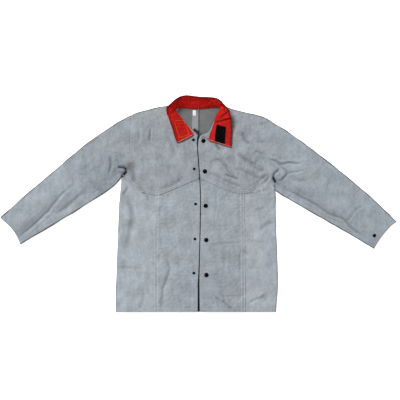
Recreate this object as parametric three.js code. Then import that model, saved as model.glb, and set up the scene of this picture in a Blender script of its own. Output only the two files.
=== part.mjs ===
// A split-leather welding jacket, unfastened and laid on its back with the front up.
// Millimetres. +X is the wearer's left, +Y runs from the hem to the collar, +Z is up from the floor.
// Left and right are the wearer's, as a tailor names them.
import * as THREE from "three";

// Walls, gaps and folded edges.
const LEATHER = 1.5;
const COLLAR_WALL = 2.4;
const PATCH_WALL = 1.2;
const SEAM_GAP = 0.6;
const SIDE_SEAM_GAP = 1.6; // the yoke seam where it runs out without a lap, under the arm
const SEAT_GAP = 0.3;
const EDGE_ROLL = 5; // radius of a folded side, shoulder or sleeve edge
const ROLL_STEPS = 5;
const LAP = 13; // width of a lapped seam with two rows of stitching
const LAP_LIFT = LEATHER + 0.9;

// How far the front stands off the back.
const CROWN = 8;
const CROWN_RUN = 60;
const HEM_Y = -404.5;
const YOKE_Y = 93; // where the yoke seam meets the front edges
const HEM_CROWN_SHARE = 0.45;
const HEM_CROWN_RUN = 190;

// Snaps.
const CAP = { radius: 8.3, height: 3.3, sides: 14 };
const STUD = { flange: 5.4, post: 2.4, height: 3.8, sides: 12 };
const CUFF_CAP = { radius: 6.6, height: 3, sides: 14 };

// The two front edges lie side by side. One row for each height above the hem.
const FRONT_OPENING = [
  { y: HEM_Y, middle: 1, gap: 7.5 },
  { y: -300, middle: 1, gap: 5 },
  { y: -229, middle: 3, gap: 3.4 },
  { y: -97, middle: 6.4, gap: 3.2 },
  { y: 0, middle: 8, gap: 3.2 },
  { y: YOKE_Y, middle: 4.5, gap: 3.2 },
  { y: 160, middle: 1, gap: 3.2 },
  { y: 222, middle: -5.5, gap: 3.6 },
  { y: 254, middle: 0.5, gap: 8 },
];

// Everything that differs between the two halves, as the jacket lies. side is the sign of X.
const RIGHT = {
  side: -1,
  sideEdge: [
    { x: -311, y: HEM_Y },
    { x: -308, y: -290 },
    { x: -302, y: -135 },
    { x: -296, y: 20 },
  ],
  armpit: { x: -287, y: 101 },
  armpitInward: { x: 0.48, y: 0.87 },
  lengthSeam: [
    { x: -161, y: HEM_Y },
    { x: -160, y: -135 },
    { x: -157, y: 45 },
  ],
  yokeSeam: [
    { x: -56, y: 70 },
    { x: -108, y: 47 },
    { x: -158, y: 31 },
    { x: -208, y: 42 },
    { x: -252, y: 69 },
  ],
  neckline: [
    { x: -43, y: 297 },
    { x: -65, y: 327 },
    { x: -86, y: 350 },
  ],
  shoulder: [
    { x: -96, y: 370.5 },
    { x: -133, y: 365.5 },
    { x: -197, y: 350.5 },
  ],
  armhole: [
    { x: -256, y: 250 },
    { x: -258, y: 170 },
  ],
  sleeve: [
    { topX: -253, topY: 333, lowX: -287, lowY: 101 },
    { topX: -340, topY: 282, lowX: -312, lowY: 70.5 },
    { topX: -425, topY: 222, lowX: -338, lowY: 51.5 },
    { topX: -504, topY: 156, lowX: -364, lowY: 33.5 },
    { topX: -584, topY: 87, lowX: -468, lowY: -32.5 },
    { topX: -665, topY: 19, lowX: -568, lowY: -92.5 },
    { topX: -742, topY: -52, lowX: -667, lowY: -151 },
  ],
  cuff: [
    { x: -699, y: -92 },
    { x: -678, y: -127 },
  ],
};
const LEFT = {
  side: 1,
  sideEdge: [
    { x: 289, y: HEM_Y },
    { x: 298, y: -292 },
    { x: 292, y: -135 },
    { x: 289, y: 0 },
  ],
  armpit: { x: 288, y: 49 },
  armpitInward: { x: -0.45, y: 0.89 },
  lengthSeam: [
    { x: 170, y: HEM_Y },
    { x: 168, y: -135 },
    { x: 166, y: 45 },
  ],
  yokeSeam: [
    { x: 62, y: 70 },
    { x: 116, y: 46 },
    { x: 166, y: 37 },
    { x: 214, y: 44 },
    { x: 254, y: 58 },
  ],
  neckline: [
    { x: 24, y: 262 },
    { x: 43, y: 272 },
    { x: 54, y: 304 },
    { x: 76, y: 349 },
  ],
  shoulder: [
    { x: 96, y: 364.5 },
    { x: 144, y: 351 },
    { x: 204, y: 336.5 },
  ],
  armhole: [
    { x: 251, y: 225 },
    { x: 255, y: 146 },
  ],
  sleeve: [
    { topX: 251, topY: 322, lowX: 288, lowY: 49 },
    { topX: 331, topY: 273, lowX: 307, lowY: 37 },
    { topX: 408, topY: 219, lowX: 328, lowY: 23.5 },
    { topX: 484, topY: 160, lowX: 352, lowY: 9.5 },
    { topX: 572, topY: 90, lowX: 455, lowY: -50 },
    { topX: 658, topY: 16, lowX: 556, lowY: -107 },
    { topX: 742, topY: -66, lowX: 657, lowY: -168 },
  ],
  cuff: [
    { x: 718, y: -84 },
    { x: 684, y: -124 },
  ],
};
const ELBOW = 0.5; // the elbow seam and the top of the lengthwise seam fall half way along their curves
const LENGTH_SEAM_TOP = 0.5;
const ELBOW_GAP = 0.0007; // share of the sleeve, each side of the elbow seam
const BACK_NECK_Y = 364;

// The main folds of the front: a ridge where rise is positive, a valley where it is negative.
// reach is the half-width across the fold.
const FOLDS = [
  { fromX: -284, fromY: 40, toX: -256, toY: -60, reach: 30, rise: -5 },
  { fromX: -256, fromY: -60, toX: -272, toY: -190, reach: 28, rise: -4 },
  { fromX: -248, fromY: 134, toX: -258, toY: 92, reach: 30, rise: -6 },
  { fromX: -318, fromY: 168, toX: -282, toY: 136, reach: 30, rise: 6 },
  { fromX: -330, fromY: 200, toX: -330, toY: 128, reach: 26, rise: -4 },
  { fromX: -470, fromY: 76, toX: -570, toY: -39, reach: 30, rise: -4 },
  { fromX: -570, fromY: -39, toX: -664, toY: -114, reach: 28, rise: -4 },
  { fromX: -418, fromY: 51, toX: -500, toY: -14, reach: 28, rise: -5 },
  { fromX: -181, fromY: 300, toX: -181, toY: 205, reach: 26, rise: -3 },
  { fromX: -180, fromY: 118, toX: -60, toY: 150, reach: 60, rise: 4 },
  { fromX: 84, fromY: 150, toX: 140, toY: 118, reach: 28, rise: -3.5 },
  { fromX: 110, fromY: 190, toX: 220, toY: 120, reach: 45, rise: 4 },
  { fromX: 150, fromY: 280, toX: 196, toY: 222, reach: 30, rise: -4 },
  { fromX: 256, fromY: 172, toX: 300, toY: 148, reach: 28, rise: -5 },
  { fromX: 300, fromY: 148, toX: 388, toY: 152, reach: 26, rise: -5 },
  { fromX: 303, fromY: 112, toX: 306, toY: 100, reach: 34, rise: 8 },
  { fromX: 296, fromY: 76, toX: 372, toY: 34, reach: 24, rise: -5 },
  { fromX: 372, fromY: 34, toX: 580, toY: -96, reach: 24, rise: -5 },
  { fromX: 614, fromY: -10, toX: 556, toY: -61, reach: 24, rise: -3 },
  { fromX: 62, fromY: -350, toX: 122, toY: -400, reach: 30, rise: 4 },
  { fromX: -110, fromY: -215, toX: -116, toY: -404, reach: 34, rise: -3 },
  { fromX: 3, fromY: -404, toX: 5, toY: 200, reach: 60, rise: -4 },
];
const FOLD_EDGE_RUN = 22; // folds die out this far inside a folded edge

// Shares of a run over which its end is blended into what it meets.
const BLEND = {
  armpitSide: 0.14,
  armpitSleeve: 0.1,
  sleeveHead: 1 / 8,
  backSide: 1 / 8,
  backArmhole: 1 / 6,
  backNeck: 1 / 2,
};
const OUTLINE_STEPS = 80;
const SEAM_STEPS = 40;

// Cuts across the collar, from its right end round the back of the neck to its left end.
// lift is the height of the free edge above what lies under it, bow how far the cut bows up between.
const COLLAR = [
  { on: "front", baseX: -15, baseY: 259, edgeX: -80, edgeY: 227, lift: 3, bow: 8 },
  { on: "front", baseX: -30, baseY: 279, edgeX: -89, edgeY: 251, lift: 12, bow: 14 },
  { on: "front", baseX: -46, baseY: 299, edgeX: -96, edgeY: 276, lift: 24, bow: 20 },
  { on: "front", baseX: -69, baseY: 329, edgeX: -110, edgeY: 317, lift: 40, bow: 26 },
  { on: "front", baseX: -85, baseY: 350, edgeX: -120, edgeY: 348, lift: 50, bow: 30 },
  { on: "back", baseX: -74, baseY: 359, edgeX: -105, edgeY: 375, lift: 57, bow: 22 },
  { on: "back", baseX: -48, baseY: 359, edgeX: -58, edgeY: 404, lift: 58, bow: 20 },
  { on: "back", baseX: 3, baseY: 356, edgeX: 5, edgeY: 399, lift: 58, bow: 20 },
  { on: "back", baseX: 48, baseY: 360, edgeX: 68, edgeY: 394, lift: 58, bow: 20 },
  { on: "back", baseX: 74, baseY: 363, edgeX: 97, edgeY: 370, lift: 57, bow: 22 },
  { on: "front", baseX: 79, baseY: 351, edgeX: 112, edgeY: 350, lift: 48, bow: 30 },
  { on: "front", baseX: 68, baseY: 335, edgeX: 122, edgeY: 322, lift: 30, bow: 24 },
  { on: "front", baseX: 57, baseY: 303, edgeX: 125, edgeY: 283, lift: 8, bow: 13 },
  { on: "front", baseX: 43, baseY: 262, edgeX: 124, edgeY: 242, lift: 4, bow: 9 },
  { on: "front", baseX: 36, baseY: 238, edgeX: 122, edgeY: 211, lift: 3, bow: 8 },
];
const COLLAR_STEPS_ALONG = 42;
const COLLAR_STEPS_ACROSS = 5;
const COLLAR_BEND = 0.35; // where across its width the collar turns over
const COLLAR_SEAT = 1; // the collar's base over the leather it is sewn to

// Patches on the collar: from and to count collar rows.
// inner and outer are shares of the collar's width, each at the first row and at the last.
const HOOK_PATCH = { from: 12.05, to: 13.85, inner: [0.23, 0.36], outer: [0.73, 0.78], face: 1 };
const LOOP_PATCH = { from: 0.2, to: 2.5, inner: [0.19, 0.08], outer: [0.84, 0.82], face: -1 };
const PATCH_CELLS = { along: 6, across: 4 };
const PATCH_GAP = 0.4;

// Snap places, from the neck to the hem.
const CAPS = [
  { x: 18.5, y: 236 },
  { x: 24, y: 122 },
  { x: 27, y: -7 },
  { x: 29, y: -135 },
  { x: 30, y: -266 },
];
const STUDS = [
  { x: -19, y: 240 },
  { x: -16, y: 131 },
  { x: -11, y: 0 },
  { x: -13.5, y: -131 },
  { x: -17.5, y: -259 },
];
const CUFF_CAP_PLACE = { x: 658, y: -118 };

// Inside the back.
const SEAM_STRIP = { x: -12, width: 25, thick: 1.3, topY: 352 };
const NECK_LABEL = { x: -15.5, width: 11, length: 20, thick: 0.6, topY: 351 };

// Panel grids, in cells. Panels that meet at a seam have the same number of cells along it.
const CELLS = {
  opening: 4,
  armhole: 10,
  armholeBack: 5,
  side: 14,
  shoulder: 12,
  frontAcross: 6,
  sideAcross: 6,
  sleeveAlong: 7,
  backNeck: 3,
  backShoulder: 5,
};

const suede = (shade) => new THREE.MeshStandardMaterial({ color: shade, roughness: 0.92 });
const MATERIALS = {
  leather: suede(0xa0a8af),
  collar: new THREE.MeshStandardMaterial({ color: 0xb41e19, roughness: 0.8 }),
  hook: new THREE.MeshStandardMaterial({ color: 0x0c0c0d, roughness: 0.9 }),
  snap: new THREE.MeshStandardMaterial({ color: 0x15171a, roughness: 0.35, metalness: 0.6 }),
  label: new THREE.MeshStandardMaterial({ color: 0xe9ebec, roughness: 0.8 }),
};

const smooth = (t) => {
  const s = Math.min(1, Math.max(0, t));
  return s * s * (3 - 2 * s);
};
const mix = (a, b, t) => a + (b - a) * t;
const steps = (cells) => Array.from({ length: cells + 1 }, (_, i) => i / cells);
// 1 at the start or the end of a run, easing to 0 over a share of it.
const nearStart = (t, share) => 1 - smooth(t / share);
const nearEnd = (t, share) => smooth((t - 1 + share) / share);
const vector = ({ x, y }) => new THREE.Vector2(x, y);

// A smooth curve through points, as a function of 0 to 1.
function through(points) {
  const curve = new THREE.SplineCurve(points.map(vector));
  return (t) => curve.getPoint(Math.min(1, Math.max(0, t)));
}

// Curves joined end to end, each with its own share of the run.
function joined(...legs) {
  const total = legs.reduce((sum, leg) => sum + leg.share, 0);
  return (t) => {
    let start = 0;
    for (const leg of legs) {
      const run = leg.share / total;
      if (t <= start + run + 1e-9) return leg.curve((t - start) / run);
      start += run;
    }
    return legs.at(-1).curve(1);
  };
}

// The part of a curve between two places on it, in that order.
const between = (curve, from, to) => (t) => curve(mix(from, to, t));

// The direction square to an edge, to its left where turn is 1 and to its right where turn is -1.
function inward(curve, t, turn) {
  const step = 1e-3;
  const along = curve(t + step).sub(curve(t - step)).normalize();
  return new THREE.Vector2(-along.y * turn, along.x * turn);
}

// The folded edges and seams of one half, as curves in plan.
function edgesOf(half) {
  const { side } = half;
  const upperPoints = [...half.shoulder, ...half.sleeve.map((row) => ({ x: row.topX, y: row.topY }))];
  const upper = through(upperPoints);
  const shoulderEnd = half.shoulder.length / (upperPoints.length - 1);
  const sideEdge = through([...half.sideEdge, half.armpit]);
  const sleeveLow = through(half.sleeve.map((row) => ({ x: row.lowX, y: row.lowY })));
  const corner = vector(half.armpitInward).normalize();
  // Both edges that meet under the arm turn towards one shared direction there.
  const towardsCorner = (normal, share) => normal.lerp(corner, share).normalize();
  const folded = (curve, normalAt) => (t) => ({ edge: curve(t), normal: normalAt(t) });
  const upperFold = folded(upper, (t) => inward(upper, t, -side));
  const shoulderFold = (t) => upperFold(t * shoulderEnd);
  const sleeveTopFold = (t) => upperFold(mix(shoulderEnd, 1, t));
  const sideNormal = (t) => towardsCorner(inward(sideEdge, t, side), nearEnd(t, BLEND.armpitSide));
  const sideFold = folded(sideEdge, sideNormal);
  const sleeveLowNormal = (t) =>
    towardsCorner(inward(sleeveLow, t, side), nearStart(t, BLEND.armpitSleeve));
  const sleeveLowFold = folded(sleeveLow, sleeveLowNormal);
  const insetOf = (fold) => (t) => {
    const { edge, normal } = fold(t);
    return edge.clone().addScaledVector(normal, EDGE_ROLL);
  };
  const armpit = insetOf(sideFold)(1);
  const armholeTop = insetOf(shoulderFold)(1);
  const armhole = through([armholeTop, ...half.armhole, armpit]);
  const openingEdge = through(
    FRONT_OPENING.map((row) => ({ x: row.middle + (side * row.gap) / 2, y: row.y })),
  );
  const seamStart = FRONT_OPENING.findIndex((row) => row.y === YOKE_Y) / (FRONT_OPENING.length - 1);
  const yokeSeam = through([openingEdge(seamStart), ...half.yokeSeam, armpit]);
  const neckline = through([openingEdge(1), ...half.neckline, insetOf(shoulderFold)(0)]);
  return {
    side,
    upper,
    sideEdge,
    sleeveLow,
    shoulderFold,
    sleeveTopFold,
    sideFold,
    sleeveLowFold,
    insetOf,
    armhole,
    openingEdge,
    seamStart,
    yokeSeam,
    neckline,
    lengthSeam: through(half.lengthSeam),
    cuff: through([insetOf(sleeveTopFold)(1), ...half.cuff, insetOf(sleeveLowFold)(1)]),
  };
}
const HALVES = { right: edgesOf(RIGHT), left: edgesOf(LEFT) };

// The folded outline of the whole jacket in short straight runs, to tell how far inside a point lies.
const OUTLINE = Object.values(HALVES).flatMap((half) =>
  [half.upper, half.sideEdge, half.sleeveLow].map((curve) => steps(OUTLINE_STEPS).map((t) => curve(t))),
);

function distanceToRun(x, y, a, b) {
  const dx = b.x - a.x;
  const dy = b.y - a.y;
  const t = Math.min(1, Math.max(0, ((x - a.x) * dx + (y - a.y) * dy) / (dx * dx + dy * dy)));
  return Math.hypot(x - a.x - t * dx, y - a.y - t * dy);
}

function insideBy(x, y) {
  let least = Infinity;
  for (const run of OUTLINE)
    for (let i = 1; i < run.length; i++) least = Math.min(least, distanceToRun(x, y, run[i - 1], run[i]));
  return least;
}

function foldHeight(x, y) {
  return FOLDS.reduce((sum, fold) => {
    const off = distanceToRun(x, y, { x: fold.fromX, y: fold.fromY }, { x: fold.toX, y: fold.toY });
    const share = Math.cos((Math.PI / 2) * Math.min(1, off / fold.reach));
    return sum + fold.rise * share * share;
  }, 0);
}

// Height of the middle of the front's leather over the floor.
function frontHeight(x, y) {
  const inside = insideBy(x, y) - EDGE_ROLL;
  const hemShare = mix(HEM_CROWN_SHARE, 1, smooth((y - HEM_Y) / HEM_CROWN_RUN));
  const crown = CROWN * hemShare * smooth(inside / CROWN_RUN);
  return LEATHER / 2 + 2 * EDGE_ROLL + crown + foldHeight(x, y) * smooth(inside / FOLD_EDGE_RUN);
}

// Distance from a seam given as a curve, for the lift of a lapped edge.
function distanceToCurve(curve) {
  const run = steps(SEAM_STEPS).map((t) => curve(t));
  return (x, y) => {
    let least = Infinity;
    for (let i = 1; i < run.length; i++) least = Math.min(least, distanceToRun(x, y, run[i - 1], run[i]));
    return least;
  };
}
const LIFT_RUN = 70; // a lapped edge comes back down to the common surface over this width
const LIFT_EDGE = { from: 28, run: 26 }; // and the lift dies out towards a folded edge
const LAP_EDGE = { from: 58, run: 24 }; // as the lap itself does, further in
const liftNearEdge = (x, y) => smooth((insideBy(x, y) - LIFT_EDGE.from) / LIFT_EDGE.run);
const noLift = () => 0;

function liftAlong(curve, layers) {
  const off = distanceToCurve(curve);
  return (x, y) => layers * LAP_LIFT * (1 - smooth((off(x, y) - LAP) / LIFT_RUN)) * liftNearEdge(x, y);
}

// A point of the front's leather with its outward direction.
function frontPoint(plan, lift) {
  const height = (x, y) => frontHeight(x, y) + lift(x, y);
  const step = 1.5;
  const slopeX = (height(plan.x + step, plan.y) - height(plan.x - step, plan.y)) / (2 * step);
  const slopeY = (height(plan.x, plan.y + step) - height(plan.x, plan.y - step)) / (2 * step);
  return {
    point: new THREE.Vector3(plan.x, plan.y, height(plan.x, plan.y)),
    normal: new THREE.Vector3(-slopeX, -slopeY, 1).normalize(),
  };
}

const backPoint = (plan, up = 1) => ({
  point: new THREE.Vector3(plan.x, plan.y, LEATHER / 2),
  normal: new THREE.Vector3(0, 0, up),
});

// Points round a folded edge, from the front's leather down to the back's, without the first.
function rollPoints({ edge, normal }, shift = new THREE.Vector2()) {
  return Array.from({ length: ROLL_STEPS }, (_, i) => {
    const turn = Math.PI / 2 - (Math.PI * (i + 1)) / ROLL_STEPS;
    const plan = edge.clone().addScaledVector(normal, EDGE_ROLL * (1 - Math.cos(turn))).add(shift);
    return {
      point: new THREE.Vector3(plan.x, plan.y, LEATHER / 2 + EDGE_ROLL * (1 + Math.sin(turn))),
      normal: new THREE.Vector3(-normal.x * Math.cos(turn), -normal.y * Math.cos(turn), Math.sin(turn)),
    };
  });
}

// A plan patch stretched between four curves. Each is a function of 0 to 1, and their ends meet.
function patch(bottom, top, start, end) {
  const corners = [bottom(0), bottom(1), top(0), top(1)];
  return (u, v) => {
    const across = start(v).lerp(end(v), u);
    const along = bottom(u).lerp(top(u), v);
    const low = corners[0].clone().lerp(corners[1], u);
    const high = corners[2].clone().lerp(corners[3], u);
    return across.add(along).sub(low.lerp(high, v));
  };
}

// A wall of even thickness over a grid of points. A wrapped grid joins its last column to its first.
function wallGeometry(grid, thickness, wraps = false) {
  const columns = grid[0].length;
  const positions = [];
  for (const share of [0.5, -0.5])
    for (const { point, normal } of grid.flat())
      positions.push(...point.clone().addScaledVector(normal, thickness * share).toArray());
  const inner = grid.length * columns;
  const at = (row, column) => row * columns + (column % columns);
  const index = [];
  const quad = (a, b, c, d) => index.push(a, b, c, a, c, d);
  const spans = wraps ? columns : columns - 1;
  const last = grid.length - 1;
  for (let r = 0; r < last; r++)
    for (let c = 0; c < spans; c++) {
      quad(at(r, c), at(r, c + 1), at(r + 1, c + 1), at(r + 1, c));
      quad(inner + at(r, c), inner + at(r + 1, c), inner + at(r + 1, c + 1), inner + at(r, c + 1));
    }
  for (let c = 0; c < spans; c++) {
    quad(at(0, c), inner + at(0, c), inner + at(0, c + 1), at(0, c + 1));
    quad(at(last, c + 1), inner + at(last, c + 1), inner + at(last, c), at(last, c));
  }
  if (!wraps)
    for (let r = 0; r < last; r++) {
      quad(at(r + 1, 0), inner + at(r + 1, 0), inner + at(r, 0), at(r, 0));
      quad(at(r, spans), inner + at(r, spans), inner + at(r + 1, spans), at(r + 1, spans));
    }
  const corner = (row, column) => grid[row][column].point;
  const face = corner(0, 1).clone().sub(corner(0, 0)).cross(corner(1, 0).clone().sub(corner(0, 0)));
  if (face.dot(grid[0][0].normal) < 0) index.reverse();
  const geometry = new THREE.BufferGeometry();
  geometry.setAttribute("position", new THREE.Float32BufferAttribute(positions, 3));
  geometry.setIndex(index);
  geometry.computeVertexNormals();
  return geometry;
}

const shifted = (curve, x, y = 0) => (t) => curve(t).add(new THREE.Vector2(x, y));

// Upper front: from the curved yoke seam up over the shoulder.
function yoke(half) {
  const inset = half.insetOf(half.shoulderFold);
  const towardsNeck = -half.side * SEAM_GAP;
  const openingTop = between(half.openingEdge, half.seamStart, 1);
  const start = joined(
    { curve: openingTop, share: CELLS.opening },
    { curve: half.neckline, share: CELLS.armhole - CELLS.opening },
  );
  const end = shifted((t) => half.armhole(1 - t), towardsNeck);
  const bottom = (t) => half.yokeSeam(t).add(new THREE.Vector2(towardsNeck * t, 0));
  const top = (t) => inset(t).add(new THREE.Vector2(towardsNeck * t, 0));
  const plan = patch(bottom, top, start, end);
  const lift = liftAlong(half.yokeSeam, 2);
  const columns = steps(CELLS.shoulder).map((u) => [
    ...steps(CELLS.armhole).map((v) => frontPoint(plan(u, v), v === 1 ? noLift : lift)),
    ...rollPoints(half.shoulderFold(u), new THREE.Vector2(towardsNeck * u, 0)),
  ]);
  return wallGeometry(columns, LEATHER);
}

// How far a lower panel runs up under the yoke: a full lap, but none close to the folded side.
function underYoke(half) {
  return (t) => {
    const seam = half.yokeSeam(t);
    const lap = mix(-SIDE_SEAM_GAP, LAP, smooth((insideBy(seam.x, seam.y) - LAP_EDGE.from) / LAP_EDGE.run));
    return seam.add(new THREE.Vector2(0, lap));
  };
}

// Centre front below the yoke. Its outer edge laps over the side front.
function centreFront(half) {
  const topCurve = between(underYoke(half), 0, LENGTH_SEAM_TOP);
  const outward = (half.side * LAP) / 2;
  const opening = between(half.openingEdge, 0, half.seamStart);
  const seam = shifted(half.lengthSeam, outward);
  const start = (t) => opening(t).add(topCurve(0).sub(opening(1)).multiplyScalar(t));
  const seamTop = topCurve(1).add(new THREE.Vector2(outward, 0));
  const end = (t) => seam(t).add(seamTop.clone().sub(seam(1)).multiplyScalar(t));
  const top = (t) => topCurve(t).add(new THREE.Vector2(outward * t, 0));
  const bottom = (t) => start(0).lerp(end(0), t);
  const plan = patch(bottom, top, start, end);
  const lift = liftAlong(half.lengthSeam, 1);
  return wallGeometry(
    steps(CELLS.frontAcross).map((u) => steps(CELLS.side).map((v) => frontPoint(plan(u, v), lift))),
    LEATHER,
  );
}

// Side front: from the lengthwise seam round the folded side to the back.
function sideFront(half) {
  const inset = half.insetOf(half.sideFold);
  const topCurve = between(underYoke(half), LENGTH_SEAM_TOP, 1);
  const inwards = (-half.side * LAP) / 2;
  const seam = shifted(half.lengthSeam, inwards);
  const seamTop = topCurve(0).add(new THREE.Vector2(inwards, 0));
  const start = (t) => seam(t).add(seamTop.clone().sub(seam(1)).multiplyScalar(t));
  const drop = new THREE.Vector2(0, -SIDE_SEAM_GAP);
  const end = (t) => inset(t).addScaledVector(drop, t);
  const top = (t) => topCurve(t).add(new THREE.Vector2(inwards * (1 - t), 0));
  const bottom = (t) => start(0).lerp(end(0), t);
  const plan = patch(bottom, top, start, end);
  const rows = steps(CELLS.side).map((v) => [
    ...steps(CELLS.sideAcross).map((u) => frontPoint(plan(u, v), noLift)),
    ...rollPoints(half.sideFold(v), drop.clone().multiplyScalar(v)),
  ]);
  return wallGeometry(rows, LEATHER);
}

// One stretch of a sleeve tube, between two shares of its length.
function sleeve(half, from, to) {
  const top = half.insetOf(half.sleeveTopFold);
  const low = half.insetOf(half.sleeveLowFold);
  const away = new THREE.Vector2(half.side * SEAM_GAP, -SEAM_GAP / 2);
  const offBody = (t) => away.clone().multiplyScalar(nearStart(t, BLEND.sleeveHead));
  const plan = patch(top, low, half.armhole, half.cuff);
  const rings = steps(CELLS.sleeveAlong).map((step) => {
    const u = mix(from, to, step);
    const shift = offBody(u);
    const at = (v) => plan(u, v).add(shift);
    const lowRoll = rollPoints(half.sleeveLowFold(u), shift);
    const topRoll = rollPoints(half.sleeveTopFold(u), shift).reverse();
    const front = steps(CELLS.armhole).map((v) => frontPoint(at(v), noLift));
    const back = steps(CELLS.armholeBack).map((v) => backPoint(at(1 - v), -1));
    return [...front, ...lowRoll, ...back.slice(1), ...topRoll.slice(1)];
  });
  return wallGeometry(rings, LEATHER, true);
}

// One half of the back, flat on the floor inside the folded edges.
function back(half) {
  const shift = -half.side * SEAM_GAP;
  const clear = (fold) => (t) => {
    const { edge, normal } = fold(t);
    return edge.addScaledVector(normal, EDGE_ROLL + SEAM_GAP);
  };
  const side = clear(half.sideFold);
  const shoulder = clear(half.shoulderFold);
  const armhole = (t) => half.armhole(1 - t).add(new THREE.Vector2(shift, 0));
  const centre = (half.side * SEAM_GAP) / 2;
  const shoulderIn = (t) => shoulder(t).add(new THREE.Vector2(shift * t, 0));
  const lowCorner = side(1).lerp(armhole(0), 0.5);
  const toLowCorner = [lowCorner.clone().sub(side(1)), lowCorner.clone().sub(armhole(0))];
  const toTopCorner = shoulderIn(1).sub(armhole(1));
  const sideIn = (t) => side(t).addScaledVector(toLowCorner[0], nearEnd(t, BLEND.backSide));
  const armholeIn = (t) =>
    armhole(t)
      .addScaledVector(toLowCorner[1], nearStart(t, BLEND.backArmhole))
      .addScaledVector(toTopCorner, nearEnd(t, BLEND.backArmhole));
  const end = joined(
    { curve: sideIn, share: CELLS.side },
    { curve: armholeIn, share: CELLS.armholeBack },
  );
  const neckEnd = shoulderIn(0);
  const neckY = (t) => mix(BACK_NECK_Y, neckEnd.y, nearEnd(t, BLEND.backNeck));
  const neck = (t) => new THREE.Vector2(mix(centre, neckEnd.x, t), neckY(t));
  const top = joined(
    { curve: neck, share: CELLS.backNeck },
    { curve: shoulderIn, share: CELLS.backShoulder },
  );
  const start = (t) => new THREE.Vector2(centre, mix(HEM_Y, BACK_NECK_Y, t));
  const bottom = (t) => new THREE.Vector2(mix(centre, end(0).x, t), HEM_Y);
  const plan = patch(bottom, top, start, end);
  const across = steps(CELLS.backNeck + CELLS.backShoulder);
  const along = steps(CELLS.side + CELLS.armholeBack);
  return wallGeometry(
    across.map((u) => along.map((v) => backPoint(plan(u, v)))),
    LEATHER,
  );
}

const topOfFront = (x, y) => frontHeight(x, y) + LEATHER / 2;

// The collar's cuts as curves: the sewn base, the bend and the free edge, each smooth along the collar.
function collarCurves() {
  const clear = COLLAR_SEAT + COLLAR_WALL / 2;
  const base = COLLAR.map((row) => {
    const under = row.on === "back" ? LEATHER : topOfFront(row.baseX, row.baseY);
    return new THREE.Vector3(row.baseX, row.baseY, under + clear);
  });
  const edge = COLLAR.map((row) => {
    const under = row.on === "back" ? 0 : topOfFront(row.edgeX, row.edgeY);
    return new THREE.Vector3(row.edgeX, row.edgeY, under + row.lift + clear);
  });
  const bend = COLLAR.map((row, i) => {
    const turn = base[i].clone().lerp(edge[i], COLLAR_BEND);
    return new THREE.Vector3(turn.x, turn.y, base[i].z + row.bow);
  });
  return [base, bend, edge].map((points) => new THREE.CatmullRomCurve3(points, false, "centripetal"));
}
const [COLLAR_BASE, COLLAR_TURN, COLLAR_EDGE] = collarCurves();

// A place on the collar's middle surface: along counts from 0 to 1, across from the base to the free edge.
function collarPlace(along, across) {
  const [base, bend, edge] = [COLLAR_BASE, COLLAR_TURN, COLLAR_EDGE].map((curve) => curve.getPoint(along));
  base.z = Math.max(base.z, LEATHER + COLLAR_SEAT + COLLAR_WALL / 4);
  return base.lerp(bend, across).lerp(bend.clone().lerp(edge, across), across);
}

function collarPoint(along, across) {
  const step = 0.004;
  const clampedBack = (t) => Math.max(0, t - step);
  const clampedOn = (t) => Math.min(1, t + step);
  const run = collarPlace(clampedOn(along), across).sub(collarPlace(clampedBack(along), across));
  const rise = collarPlace(along, clampedOn(across)).sub(collarPlace(along, clampedBack(across)));
  return { point: collarPlace(along, across), normal: run.cross(rise).normalize() };
}

function collar() {
  const rows = steps(COLLAR_STEPS_ALONG).map((along) =>
    steps(COLLAR_STEPS_ACROSS).map((across) => collarPoint(along, across)),
  );
  return wallGeometry(rows, COLLAR_WALL);
}

// A patch that lies on one face of the collar.
function collarPatch({ from, to, inner, outer, face }) {
  const off = face * (COLLAR_WALL / 2 + PATCH_GAP + PATCH_WALL / 2);
  const rows = steps(PATCH_CELLS.along).map((u) =>
    steps(PATCH_CELLS.across).map((v) => {
      const along = mix(from, to, u) / (COLLAR.length - 1);
      const across = mix(mix(...inner, u), mix(...outer, u), v);
      const { point, normal } = collarPoint(along, across);
      return { point: point.addScaledVector(normal, off), normal };
    }),
  );
  return wallGeometry(rows, PATCH_WALL);
}

const turned = (profile, sides) =>
  new THREE.LatheGeometry(
    profile.map(([radius, height]) => new THREE.Vector2(radius, height)),
    sides,
  );
const capGeometry = ({ radius, height, sides }) =>
  turned(
    [
      [0, 0],
      [radius * 0.92, 0],
      [radius, height * 0.25],
      [radius * 0.94, height * 0.6],
      [radius * 0.62, height * 0.92],
      [0, height],
    ],
    sides,
  );
const studGeometry = ({ flange, post, height, sides }) =>
  turned(
    [
      [0, 0],
      [flange, 0],
      [flange * 0.94, height * 0.24],
      [post * 1.15, height * 0.34],
      [post * 0.9, height * 0.6],
      [post, height * 0.86],
      [post * 0.6, height],
      [0, height],
    ],
    sides,
  );

const jacket = new THREE.Group();

function add(name, geometry, material) {
  const mesh = new THREE.Mesh(geometry, material);
  mesh.name = name;
  jacket.add(mesh);
  return mesh;
}

// Seats a turned piece on a panel, square to the leather under it and clear of all of it.
function seat(piece, place, radius, panel) {
  const down = new THREE.Vector3(0, 0, -1);
  const spots = [place];
  for (let i = 0; i < 12; i++) {
    const turn = (i / 12) * 2 * Math.PI;
    spots.push({ x: place.x + radius * Math.cos(turn), y: place.y + radius * Math.sin(turn) });
  }
  const hits = spots.map((spot) => {
    const ray = new THREE.Raycaster(new THREE.Vector3(spot.x, spot.y, 100), down);
    return ray.intersectObject(panel)[0];
  });
  const normal = hits.reduce((sum, hit) => sum.add(hit.face.normal), new THREE.Vector3()).normalize();
  const centre = hits[0].point;
  const highest = Math.max(...hits.map((hit) => hit.point.clone().sub(centre).dot(normal)));
  piece.quaternion.setFromUnitVectors(new THREE.Vector3(0, 1, 0), normal);
  piece.position.copy(centre).addScaledVector(normal, highest + SEAT_GAP);
}

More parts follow.
